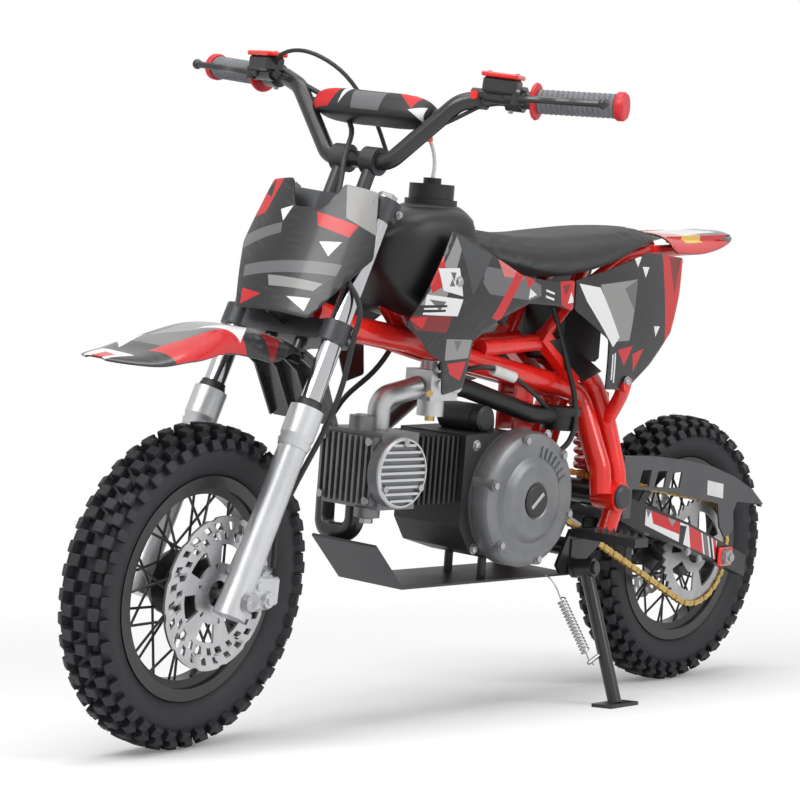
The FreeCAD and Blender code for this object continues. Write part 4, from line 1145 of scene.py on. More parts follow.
@dataclass
class Padded(Moulding):
    """Soft body whose cover a cloth simulation draws tight over its foam."""

    cell: float = 5.0
    pressure: float = 4.0
    most: float = 5.0
    fill: float = 0.85
    rest: Point = (0, 0, -1)

    def build(self, slot: str, material: bpy.types.Material) -> bpy.types.Object:
        """Shaped foam, evenly meshed, then swollen a little under its cover."""
        obj = super().build(slot, material)
        swell(obj, self.cell, self.pressure, self.most, Vector(self.rest))
        return obj


@dataclass
class Cushion(Padded):
    """Long padded seat."""

    name: str = "seat_cover"
    body: str = "chassis"
    sections: Sections = (
        (70, 60, 622, 660), (0, 79, 607, 652), (-80, 89, 601, 653), (-170, 91, 617, 662),
        (-260, 83, 647, 672), (-334, 64, 657, 677),
    )
    squareness: float = 5.0
    crown: float = 4.0


def swell(obj: bpy.types.Object, cell: float, pressure: float, most: float, rest: Vector) -> None:
    """Meshes a body evenly and lets a pressed cloth round it, in place.

    Args:
        obj: The body, in the model's metres.
        cell: Size of the even mesh, in millimetres.
        pressure: Pressure inside the cover.
        most: Longest way that a point may move, in millimetres.
        rest: Direction of the side that lies on something and stays as it is.
    """
    bpy.context.view_layer.objects.active = obj
    obj.select_set(True)
    remesh = obj.modifiers.new("even", "REMESH")
    remesh.mode = "VOXEL"
    remesh.voxel_size = cell * MM
    apply_modifiers(obj)
    start = [v.co.copy() for v in obj.data.vertices]
    still = obj.vertex_groups.new(name="still")
    still.add([v.index for v in obj.data.vertices if v.normal.dot(rest) > 0.6], 1.0, "REPLACE")
    cloth = obj.modifiers.new("cover", "CLOTH")
    cloth.settings.use_pressure = True
    cloth.settings.uniform_pressure_force = pressure
    cloth.settings.effector_weights.gravity = 0.0
    cloth.settings.vertex_group_mass = still.name
    for frame_number in range(1, COVER_FRAMES + 1):
        bpy.context.scene.frame_set(frame_number)
    apply_modifiers(obj)
    bpy.context.scene.frame_set(1)
    for vert, old in zip(obj.data.vertices, start):
        move = vert.co - old
        if move.length > most * MM:
            vert.co = old + move.normalized() * most * MM
    soft = obj.modifiers.new("soft", "SUBSURF")
    soft.levels = soft.render_levels = 1
    apply_modifiers(obj)
    obj.vertex_groups.clear()
    obj.data.shade_smooth()
    obj.select_set(False)


def apply_modifiers(obj: bpy.types.Object) -> None:
    """Bakes an object's modifiers into its mesh."""
    graph = bpy.context.evaluated_depsgraph_get()
    baked = obj.evaluated_get(graph)
    mesh = bpy.data.meshes.new_from_object(baked, preserve_all_data_layers=True, depsgraph=graph)
    obj.modifiers.clear()
    old = obj.data
    obj.data = mesh
    bpy.data.meshes.remove(old)


RED: Colour = (0.56, 0.010, 0.014)
DARK_RED: Colour = (0.20, 0.006, 0.008)
LIGHT_RED: Colour = (0.62, 0.16, 0.15)
WHITE: Colour = (0.78, 0.78, 0.79)
PALE_GREY: Colour = (0.27, 0.265, 0.26)
MID_GREY: Colour = (0.13, 0.132, 0.138)
DARK_GREY: Colour = (0.050, 0.052, 0.056)
BLACK: Colour = (0.012, 0.012, 0.014)
YELLOW: Colour = (0.72, 0.50, 0.08)

PAD_CENTRE = fork_point(660.5, 0, -10.5)
SIDE_SHEET = Drawing(BIKE, Vector((0, 0, 0)), AHEAD, UP)
TOP_SHEET = Drawing(BIKE, Vector((0, 0, 0)), AHEAD, LEFT)
PLATE_SHEET = Drawing(FRONT, axis_point(LOWER_CLAMP_Q), LEFT, LEG_UP)
FENDER_SHEET = Drawing(FRONT, fork_point(LOWER_CLAMP_Q), LEG_AHEAD, LEFT)
PAD_SHEET = Drawing(FRONT, PAD_CENTRE, LEFT, LEG_UP)


def graphics() -> Materials:
    """The printed plastics by name: shards of red, white and grey on black, of no maker's design."""
    shroud = (
        Shard(MID_GREY, ((96, 634), (20, 606), (-56, 600), (-56, 566), (0, 570), (62, 552), (104, 590))),
        Shard(PALE_GREY, ((150, 650), (214, 556), (180, 552), (140, 642))),
        Shard(DARK_GREY, ((152, 652), (84, 626), (124, 574))),
        Shard(RED, ((206, 610), (177, 622), (171, 587), (196, 574))),
        Shard(WHITE, ((186, 606), (150, 608), (143, 572), (178, 578))),
        Shard(MID_GREY, ((166, 602), (156, 602), (160, 590))),
        Shard(MID_GREY, ((158, 584), (168, 584), (163, 594))),
        Shard(WHITE, ((204, 572), (142, 568), (150, 546), (208, 546))),
        Shard(MID_GREY, ((200, 566), (172, 564), (182, 552))),
        Shard(BLACK, ((216, 558), (170, 560), (170, 557), (216, 554))),
        Shard(BLACK, ((220, 552), (172, 554), (172, 551), (220, 548))),
        Shard(DARK_RED, ((228, 544), (160, 546), (166, 524), (216, 526))),
        Shard(RED, ((228, 540), (200, 544), (206, 528))),
        Shard(PALE_GREY, ((164, 516), (116, 516), (118, 492), (162, 488))),
        Shard(MID_GREY, ((150, 514), (136, 514), (142, 500))),
        Shard(RED, ((156, 484), (120, 488), (126, 462), (148, 470))),
        Shard(BLACK, ((170, 500), (164, 500), (150, 440), (156, 440))),
        Shard(LIGHT_RED, ((72, 622), (24, 612), (18, 598), (60, 600))),
        Shard(RED, ((30, 612), (16, 606), (62, 541), (80, 545))),
        Shard(RED, ((14, 602), (-8, 598), (6, 585))),
        Shard(WHITE, ((2, 586), (-14, 578), (4, 572))),
        Shard(BLACK, ((-20, 600), (-62, 594), (-62, 566), (-26, 566))),
        Shard(WHITE, ((-34, 586), (-53, 582), (-53, 579), (-34, 583))),
        Shard(WHITE, ((-34, 578), (-53, 574), (-53, 571), (-34, 575))),
        Shard(RED, ((-64, 598), (-99, 602), (-99, 556), (-70, 566))),
        Shard(DARK_RED, ((-70, 592), (-88, 594), (-78, 578))),
        Shard(WHITE, ((-90, 584), (-98, 570), (-84, 568))),
    )
    panel = (
        Shard(PALE_GREY, ((-150, 596), (-236, 606), (-226, 520), (-196, 518))),
        Shard(MID_GREY, ((-205, 592), (-236, 606), (-231, 562))),
        Shard(WHITE, ((-106, 596), (-124, 572), (-190, 510), (-202, 524), (-150, 592))),
        Shard(RED, ((-302, 650), (-366, 650), (-346, 556), (-318, 516), (-312, 560))),
        Shard(DARK_RED, ((-322, 640), (-356, 640), (-336, 586))),
        Shard(WHITE, ((-284, 541), (-300, 541), (-291, 526))),
        Shard(WHITE, ((-227, 636), (-246, 638), (-236, 623))),
        Shard(WHITE, ((-248, 624), (-266, 624), (-256, 609))),
        Shard(RED, ((-202, 506), (-236, 513), (-222, 484))),
        Shard(RED, ((-238, 501), (-264, 509), (-246, 476))),
        Shard(WHITE, ((-196, 502), (-199, 502), (-206, 460), (-203, 460))),
        Shard(WHITE, ((-191, 500), (-194, 500), (-200, 464), (-197, 464))),
    )
    plate = (
        Shard(RED, ((-112, 140), (-84, 200), (-58, 200), (-72, 146))),
        Shard(BLACK, ((-90, 176), (-76, 196), (-72, 168))),
        Shard(PALE_GREY, ((100, 140), (88, 200), (42, 200), (58, 152))),
        Shard(RED, ((18, 152), (76, 146), (70, 128), (26, 134))),
        Shard(MID_GREY, ((-104, 116), (-30, 132), (-26, 118), (-94, 98))),
        Shard(MID_GREY, ((-72, 72), (74, 92), (72, 76), (-66, 56))),
        Shard(PALE_GREY, ((-20, 60), (60, 62), (52, 50), (-12, 46))),
        Shard(WHITE, ((-42, 150), (-22, 156), (-30, 134))),
        Shard(WHITE, ((36, 114), (64, 120), (54, 98))),
        Shard(RED, ((-58, 40), (-20, 34), (-50, 18))),
        Shard(WHITE, ((20, 36), (52, 40), (50, 22))),
    )
    fender = (
        Shard(MID_GREY, ((40, -38), (226, -30), (226, 30), (40, 38))),
        Shard(PALE_GREY, ((96, -14), (200, -26), (170, 12), (110, 20))),
        Shard(RED, ((132, 30), (244, 20), (232, 62), (110, 62))),
        Shard(RED, ((88, -60), (176, -62), (142, -22))),
        Shard(WHITE, ((96, 22), (164, 8), (128, 48))),
        Shard(WHITE, ((200, -34), (250, -18), (216, -60))),
        Shard(WHITE, ((262, -30), (304, -20), (304, 14), (268, 26))),
        Shard(RED, ((276, -10), (304, -6), (304, 10), (282, 12))),
        Shard(DARK_RED, ((46, 34), (88, 30), (66, 58))),
        Shard(BLACK, ((236, -6), (256, 2), (238, 12))),
    )
    tail = (
        Shard(LIGHT_RED, ((-330, -70), (-440, -50), (-440, 50), (-330, 70))),
        Shard(WHITE, ((-400, -44), (-500, -34), (-500, 34), (-400, 44))),
        Shard(RED, ((-330, 60), (-470, 52), (-510, 70), (-330, 92))),
        Shard(RED, ((-330, -60), (-470, -52), (-510, -70), (-330, -92))),
        Shard(YELLOW, ((-378, 44), (-424, 42), (-424, 66), (-378, 70))),
    )
    pad = (
        Shard(RED, ((-88, 20), (-46, 20), (-60, -12), (-92, -14))),
        Shard(WHITE, ((-42, 22), (-30, 22), (-44, -8))),
        Shard(MID_GREY, ((-26, 14), (26, 14), (22, -12), (-22, -12))),
        Shard(RED, ((40, 20), (84, 22), (70, -4))),
        Shard(WHITE, ((66, -6), (90, 2), (86, -16))),
    )
    arm = (
        Shard(RED, ((-338, 274), (-392, 256), (-392, 238), (-344, 254))),
        Shard(MID_GREY, ((-326, 290), (-342, 280), (-334, 262))),
        Shard(PALE_GREY, ((-366, 268), (-386, 262), (-378, 250))),
        Shard(BLACK, ((-392, 252), (-404, 250), (-400, 222), (-392, 226))),
        Shard(RED, ((-405, 262), (-436, 254), (-452, 200), (-420, 206))),
        Shard(MID_GREY, ((-440, 250), (-452, 248), (-468, 196), (-456, 200))),
        Shard(BLACK, ((-456, 246), (-462, 245), (-478, 194), (-472, 196))),
        Shard(RED, ((-466, 244), (-474, 242), (-490, 190), (-482, 192))),
    )
    table = (
        Graphic("shroud_print", BLACK, 0.30, coat=0.3, drawing=SIDE_SHEET, shards=shroud, scratched=0.10),
        Graphic("panel_print", BLACK, 0.30, coat=0.3, drawing=SIDE_SHEET, shards=panel, scratched=0.05),
        Graphic(
            "plate_print", BLACK, 0.38, coat=0.15, grid=FRONT, drawing=PLATE_SHEET, shards=plate,
            scratched=0.05,
        ),
        Graphic(
            "fender_print", BLACK, 0.28, coat=0.4, grid=FRONT, drawing=FENDER_SHEET, shards=fender,
            scratched=0.06,
        ),
        Graphic("tail_print", BLACK, 0.24, coat=0.6, drawing=TOP_SHEET, shards=tail),
        Graphic("arm_print", WHITE, 0.3, coat=0.4, drawing=SIDE_SHEET, shards=arm),
        Graphic("pad_print", BLACK, 0.5, Skin.RUBBER, grid=FRONT, drawing=PAD_SHEET, shards=pad),
    )
    return {finish.name: finish.make() for finish in table}


@dataclass
class BarPad(Padded):
    """Foam pad in its cover round the handlebar's brace."""

    name: str = "bar_pad_cover"
    body: str = "steering"
    grid: Grid = FRONT
    sections: Sections = (
        (-94, 22, -18, 18), (-60, 23, -19, 19), (0, 23, -19, 19), (60, 23, -19, 19), (94, 22, -18, 18),
    )
    squareness: float = 4.0
    cuts: int = 16
    cell: float = 4.0
    most: float = 3.0
    fill: float = 0.8
    rest: Point = (0, 0, -2)

    def extras(self, piece: Piece) -> None:
        """Lays the pad across the bike on its brace."""
        axes = Matrix(((0, LEG_AHEAD.x, LEG_UP.x), (1, 0, 0), (0, LEG_AHEAD.z, LEG_UP.z))).to_4x4()
        piece.bm.transform(Matrix.Translation(PAD_CENTRE) @ axes)


def bodywork(materials: Materials) -> None:
    """Panels, tank, seat and pad in place of their plain solids."""
    prints = graphics()
    panels = []
    for side, word in ((1, "left"), (-1, "right")):
        panels += [
            (Shroud(f"{word}_shroud", "chassis", BIKE, side=side), "shroud_print", "shrouds"),
            (NumberPanel(f"{word}_side_panel", "chassis", BIKE, side=side), "panel_print", "side_panels"),
        ]
    panels += [
        (FrontPlate("front_plate", "steering", FRONT), "plate_print", "number_plate"),
        (FrontFender("fender_shell", "steering", FRONT), "fender_print", "front_fender"),
        (Tail("tail_shell", "chassis", BIKE), "tail_print", "rear_fender"),
    ]
    for panel, film, node in panels:
        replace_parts(panel.build("black_plastic", prints[film], materials["black_plastic"]), node)
    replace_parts(Tank().build("matt_plastic", materials["matt_plastic"]), "fuel_tank")
    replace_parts(Cushion().build("seat_vinyl", materials["seat_vinyl"]), "seat")
    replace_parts(BarPad().build("pad_cover", prints["pad_print"]), "bar_pad")
    decals = Piece("arm_decals")
    for side in (-1, 1):
        rear = [(-404, 95.0, 252), (-404, 95.0, 222), (-482, 96.5, 197), (-482, 96.5, 225)]
        front = [(-404, 94.6, 252), (-404, 94.6, 222), (-330, 73.4, 252), (-330, 73.4, 276)]
        for corners in (rear, front):
            decals.plate([Vector((x, side * y, z)) for x, y, z in corners], Vector((0, side * 0.8, 0)))
    decals.finish("chassis", "black_plastic", prints["arm_print"])


@dataclass
class Grips:
    """Ribbed grips with a flange inside and a ring outside, one at each end of the bar."""

    inner: Point = (192, 217, 833)
    outer: Point = (163, 329, 838)
    ribs: int = 15
    rib: Outline = ((0.0, 13.9), (0.25, 15.3), (0.7, 15.3), (0.95, 13.9))
    bore: float = 11.1

    def build(self, materials: Materials) -> None:
        """Grey sleeves, and red flanges and rings."""
        sleeves = Piece("grip_sleeves", FRONT)
        rings = Piece("grip_rings", FRONT)
        for side in (-1, 1):
            start = Vector((self.inner[0], side * self.inner[1], self.inner[2]))
            end = Vector((self.outer[0], side * self.outer[1], self.outer[2]))
            run = (end - start).normalized()
            length = (end - start).length + 3
            step = (length - 18) / self.ribs
            outline = [(6.0, self.bore)]
            for i in range(self.ribs):
                at = 6 + i * step
                outline += [(at + step * share, radius) for share, radius in self.rib]
            sleeves.lathe(outline + [(length - 12, self.bore)], start, run, 32)
            flange = [(0, self.bore), (0, 22), (2, 23.5), (4.5, 22.5), (6.5, 17), (6.5, self.bore)]
            rings.lathe(flange, start, run, 40)
            end_ring = [(-12, self.bore), (-12, 16.6), (-10, 18), (-3, 18), (0, 15.5), (0, 0.1), (-3, 0.1)]
            rings.lathe([(length + at, radius) for at, radius in end_ring], start, run, 40)
        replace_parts(sleeves.wear("steering", "grip_rubber", materials), "grips")
        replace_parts(rings.finish("steering", "red_paint", materials["red_rubber"]), "grips")


@dataclass
class HandControls:
    """Brake lever, perch, barrel and fluid cup on each side, with the stop switch on the left."""

    elbow: Point = (205, 172, 834)
    knee: Point = (192, 217, 833)
    tip: Point = (163, 329, 838)
    switch: Point = (214, 150, 829)
    reach: float = 33.0

    def side_points(self, side: int) -> tuple[Vector, Vector, Vector]:
        """Where the perch sits on one side, the bar's direction there and the grip's direction."""
        elbow, knee, tip = (Vector((p[0], side * p[1], p[2])) for p in (self.elbow, self.knee, self.tip))
        return elbow.lerp(knee, 0.5), (knee - elbow).normalized(), (tip - knee).normalized()

    def build(self, materials: Materials) -> None:
        """Black castings and levers, red lids, and silver screws."""
        body = Piece("control_bodies", FRONT)
        lids = Piece("control_lids", FRONT)
        screws = Piece("control_screws", FRONT)
        for side in (-1, 1):
            perch, run, out = self.side_points(side)
            body.rod(perch - run * 11, perch + run * 11, 16)
            body.rod(perch - run * 9 + AHEAD * 4, perch - run * 9 + AHEAD * 27, 9)
            body.rod(perch + run * 9 + AHEAD * 4, perch + run * 9 + AHEAD * 27, 9)
            barrel = perch + AHEAD * 25
            body.rod(barrel - run * 26, barrel + run * 16, 9)
            body.rod(barrel - run * 34, barrel - run * 26, 6, sides=6)
            turn = run.to_track_quat("X", "Z").to_matrix().to_4x4()
            body.block((44, 30, 20), Matrix.Translation(barrel - run * 6 + UP * 13) @ turn, 3.0)
            lids.block((48, 34, 6), Matrix.Translation(barrel - run * 6 + UP * 26) @ turn, 1.6)
            for offset in (-18, 18):
                spot = barrel - run * (6 + offset)
                screws.rod(spot + UP * 28, spot + UP * 30.5, 3, sides=12)
            pivot = perch + run * 18 + AHEAD * self.reach
            body.rod(pivot - UP * 8, pivot + UP * 8, 7)
            body.block((26, 18, 9), Matrix.Translation((barrel + pivot) / 2 + run * 4) @ turn, 2.0)
            screws.rod(pivot + UP * 8, pivot + UP * 11, 4.5, sides=6)
            grip_end = Vector((self.tip[0], side * self.tip[1], self.tip[2]))
            blade = [
                pivot, pivot + out * 24 + AHEAD * 6, pivot + out * 60 + AHEAD * 2,
                grip_end + AHEAD * 40 - out * 30, grip_end + AHEAD * 42 - out * 6,
            ]
            body.tube(blade, 4.6, 3)
            ball = Matrix.Translation(grip_end + AHEAD * 42 - out * 4)
            bmesh.ops.create_uvsphere(body.bm, u_segments=16, v_segments=10, radius=7, matrix=ball)
            screws.bolt(perch - run * 6 - UP * 15, -UP, 3.0, 3.0)
        switch = Vector(self.switch)
        body.block((22, 20, 26), Matrix.Translation(switch), 3.0)
        lids.rod(switch + Vector((10, 0, 4)), switch + Vector((15, 0, 4)), 5.5)
        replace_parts(body.wear("steering", "black_paint", materials), "hand_controls")
        lids.wear("steering", "red_paint", materials)
        screws.wear("steering", "bright_steel", materials)


@dataclass
class BrakeDisc:
    """Thin steel disc with slanted slots, on a carrier of six arms."""

    name: str
    body: str
    grid: Grid
    axle_x: float
    y: float
    radius: float
    cells: int = 120
    wall: float = 3.5
    slant: float = 0.55
    slots_from: float = 0.6
    shares: tuple[float, ...] = (0.17, 0.33, 0.40, 0.64, 0.70, 0.80, 0.83, 0.93, 1.0)

    def radii(self) -> tuple[float, ...]:
        """Radii of the rings, from the bore outwards."""
        return tuple(self.radius * share for share in self.shares)

    def rim(self, cell: int) -> float:
        """How far the outer edge draws in there."""
        return 2.2 if cell % 10 in (0, 1) else 0.0

    def is_open(self, ring: int, cell: int) -> bool:
        """Whether the disc is cut away there."""
        openings = {1: (20, (3, 4)), 2: (20, range(9, 20)), 4: (5, (1, 2)), 5: (10, (0,)), 6: (5, (3, 4))}
        repeat, cut = openings.get(ring, (1, ()))
        return cell % repeat in cut

    def sheared(self, radius: float) -> float:
        """Angle by which the slots lean forward at that radius."""
        return self.slant * max(0.0, radius / self.radius - self.slots_from)

    def build(self, material: bpy.types.Material) -> bpy.types.Object:
        """The disc as one piece: a sheared polar grid with its openings, given a wall."""
        piece = Piece(self.name, self.grid)
        radii = self.radii()
        bmesh.ops.create_grid(piece.bm, x_segments=self.cells, y_segments=len(radii) - 1, size=1.0)
        middle = Vector((self.axle_x, self.y - self.wall / 2, AXLE_HEIGHT))
        for vert in piece.bm.verts:
            cell = round((vert.co.x + 1) / 2 * self.cells)
            ring = round((vert.co.y + 1) / 2 * (len(radii) - 1))
            radius = radii[ring] - (self.rim(cell) if ring == len(radii) - 1 else 0.0)
            turn = 2 * math.pi * cell / self.cells + self.sheared(radius)
            vert.co = middle + Vector((math.sin(turn), 0, math.cos(turn))) * radius
        bmesh.ops.remove_doubles(piece.bm, verts=piece.bm.verts, dist=0.01)
        cut = []
        for face in piece.bm.faces:
            arm = face.calc_center_median() - middle
            reach = math.hypot(arm.x, arm.z)
            ring = sum(reach > r for r in radii) - 1
            turn = math.atan2(arm.x, arm.z) - self.sheared(reach)
            if self.is_open(ring, int(turn / (2 * math.pi) * self.cells + self.cells) % self.cells):
                cut.append(face)
        bmesh.ops.delete(piece.bm, geom=cut, context="FACES")
        bmesh.ops.solidify(piece.bm, geom=piece.bm.faces[:], thickness=self.wall)
        low = min(v.co.y for v in piece.bm.verts)
        bmesh.ops.translate(piece.bm, verts=piece.bm.verts[:], vec=(0, self.y - self.wall / 2 - low, 0))
        return piece.finish(self.body, "bright_steel", material, 30.0)


@dataclass
class ChainWheel(BrakeDisc):
    """Flat chain wheel with a tooth for every roller and five windows."""

    cells: int = 156
    wall: float = 3.0
    slant: float = 0.0
    shares: tuple[float, ...] = (0.22, 0.40, 0.74, 0.90, 1.0)

    def rim(self, cell: int) -> float:
        """How far the outer edge draws in between the teeth."""
        return (0.0, 3.6, 6.6, 3.6)[cell % 4]

    def is_open(self, ring: int, cell: int) -> bool:
        """Whether a window is cut there."""
        return ring == 1 and cell % 39 > 9


@dataclass
class Chain:
    """Drive chain: rollers and pairs of link plates along the loop round both sprockets."""

    pitch: float = 12.7
    y: float = 46.2
    front: Pair = (-150.0, 306.0)
    rear: Pair = (-500.0, AXLE_HEIGHT)
    front_teeth: int = 14
    rear_teeth: int = 39
    arc_steps: int = 60
    cheek: float = 4.5

    def radius(self, teeth: int) -> float:
        """Pitch radius of a sprocket."""
        return self.pitch / (2 * math.sin(math.pi / teeth))

    def loop(self) -> list[Vector]:
        """Middles of the pins round the loop, a pitch apart."""
        front, rear = (Vector((x, 0, z)) for x, z in (self.front, self.rear))
        small, large = self.radius(self.front_teeth), self.radius(self.rear_teeth)
        run = rear - front
        base = math.atan2(run.z, run.x)
        lean = math.acos((small - large) / run.length)
        runs = [
            (front, small, base - lean, base + lean - 2 * math.pi),
            (rear, large, base + lean, base - lean),
        ]
        line: list[Vector] = []
        for centre, radius, start, end in runs:
            for i in range(self.arc_steps + 1):
                turn = start + (end - start) * i / self.arc_steps
                line.append(centre + Vector((math.cos(turn), 0, math.sin(turn))) * radius)
        line.append(line[0])
        lengths = [0.0]
        for a, b in zip(line, line[1:]):
            lengths.append(lengths[-1] + (b - a).length)
        count = round(lengths[-1] / self.pitch / 2) * 2
        pins = []
        for i in range(count):
            along = lengths[-1] * i / count
            k = max(j for j in range(len(lengths) - 1) if lengths[j] <= along)
            share = (along - lengths[k]) / max(lengths[k + 1] - lengths[k], 1e-6)
            pins.append(line[k].lerp(line[k + 1], share))
        return pins

    def build(self, material: bpy.types.Material) -> None:
        """The chain in place of its plain band."""
        piece = Piece("chain_links")
        pins = self.loop()
        for i, (a, b) in enumerate(zip(pins, pins[1:] + pins[:1])):
            a, b = a + LEFT * self.y, b + LEFT * self.y
            run = (b - a).normalized()
            side = run.cross(LEFT)
            piece.rod(a - LEFT * 5.2, a + LEFT * 5.2, 2.0, sides=8)
            piece.rod(a - LEFT * 2.4, a + LEFT * 2.4, 3.9, sides=10)
            for y in ((-2.4, 2.4) if i % 2 else (-3.6, 3.6)):
                corners = []
                for centre, start in ((b, 0.0), (a, math.pi)):
                    for k in range(7):
                        turn = start - math.radians(125) + math.radians(250) * k / 6
                        corners.append(centre + (run * math.cos(turn) + side * math.sin(turn)) * self.cheek)
                push = Vector((0, math.copysign(1.1, y), 0))
                piece.plate([c + LEFT * y for c in corners], push)
        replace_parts(piece.finish("chassis", "gold_chain", material), "chain")


@dataclass
class ChainGuard:
    """Long guard beside the chain: windows in front, a folded rim on top and a lobe down to the axle."""

    y: float = 64.0
    wall: float = 3.0
    outline: Outline = (
        (-278, 352), (-360, 350), (-440, 342), (-500, 332), (-560, 315), (-610, 294), (-642, 271),
        (-620, 272), (-570, 277), (-563, 262), (-566, 236), (-558, 226), (-544, 224), (-530, 240),
        (-520, 276), (-455, 286), (-400, 296), (-360, 300), (-302, 304), (-302, 262), (-284, 262),
        (-278, 306),
    )
    label: Outline = ((-488, 312), (-490, 290), (-532, 283), (-530, 305))

    def build(self, materials: Materials) -> None:
        """The guard with its rim, its windows and a blank label."""
        piece = Piece("guard_sheet")
        piece.sheet(self.outline, self.y, self.wall)
        windows = Piece("guard_cutters")
        for i in range(3):
            x, low, high = -316 - i * 38, 306 - i * 1.5, 331 - i * 2.5
            windows.sheet([(x, low), (x - 26, low), (x - 30, high), (x - 8, high)], self.y - 2, 8)
        guard = piece.finish("chassis", "matt_plastic", materials["guard_plastic"], 30.0)
        carve(guard, windows)
        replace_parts(guard, "chain_guard")
        top = list(self.outline[:7])
        edge = top + [(x + 1, z - 5) for x, z in reversed(top)]
        rim = Piece("guard_rim")
        rim.sheet(edge, self.y - 7, 8)
        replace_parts(rim.finish("chassis", "matt_plastic", materials["guard_plastic"], 30.0), "chain_guard")
        label = Piece("blank_label")
        label.sheet(self.label, self.y + self.wall, 0.3)
        label.finish("chassis", "bare_aluminium", materials["white_plastic"])


def carve(obj: bpy.types.Object, cutters: Piece) -> None:
    """Cuts closed forms out of a finished piece.

    Args:
        obj: The piece, which is changed.
        cutters: Closed forms in the making, used up here.
    """
    bmesh.ops.recalc_face_normals(cutters.bm, faces=cutters.bm.faces)
    cutters.bm.transform(cutters.grid.matrix)
    mesh = bpy.data.meshes.new(cutters.name)
    cutters.bm.to_mesh(mesh)
    cutters.bm.free()
    tool = add_object(cutters.name, mesh)
    cut =obj.modifiers.new("cut", "BOOLEAN")
    cut.operation = "DIFFERENCE"
    cut.object = tool
    bpy.context.view_layer.update()
    apply_modifiers(obj)
    bpy.data.objects.remove(tool)
    bpy.data.meshes.remove(mesh)


@dataclass
class MagnetoCover:
    """Round cover with a stepped face, six screws on lugs and a blank cap with a coin slot."""

    x: float = -45.0
    z: float = 300.0
    rim: float = 93.5
    screw_angles: tuple[float, ...] = (15, 75, 135, 195, 255, 315)

    def spot(self, angle: float, reach: float, y: float) -> Vector:
        """Point of the face by angle and distance from the crank."""
        turn = math.radians(angle)
        return Vector((self.x + reach * math.cos(turn), y, self.z + reach * math.sin(turn)))

    def build(self, materials: Materials) -> None:
        """Cast cover, dark cap and bright screws."""
        cover = Piece("magneto_casting")
        outline = [
            (56.3, 0.1), (56.3, self.rim), (62, self.rim), (62, 91.5), (64, 91.5), (64, 93), (80, 93),
            (87, 90), (91, 84), (92, 76), (90.5, 72), (90.5, 60), (93, 56), (97, 52), (99, 46), (99, 26),
            (97, 23), (97, 0.1),
        ]
        cover.lathe(outline, (self.x, 0, self.z), (0, 1, 0), 96)
        for angle in self.screw_angles:
            cover.rod(self.spot(angle, 86, 60), self.spot(angle, 84, 92), 10, 8)
        for i in range(7):
            angle = 100 + i * 9
            corners = ((angle, 58), (angle + 3, 58), (angle + 3, 74), (angle, 74))
            cover.plate([self.spot(turn, reach, 88) for turn, reach in corners], (0, 5, 0))
        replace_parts(cover.finish("chassis", "engine_grey", materials["engine_grey"], 30.0), "magneto_cover")
        cap = Piece("magneto_cap")
        outline = [(96, 0.1), (96, 22.5), (99, 22.5), (101, 20), (101, 0.1)]
        cap.lathe(outline, (self.x, 0, self.z), (0, 1, 0), 48)
        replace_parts(cap.wear("chassis", "engine_black", materials), "magneto_cover")
        screws = Piece("cover_screws")
        for angle in self.screw_angles:
            screws.rod(self.spot(angle, 84, 91.5), self.spot(angle, 84, 95), 5, sides=6)
        turn = Matrix.Translation((self.x, 101, self.z)) @ Matrix.Rotation(math.radians(40), 4, "Y")
        screws.block((30, 1.4, 5), turn, 0.4)
        screws.wear("chassis", "bright_steel", materials)


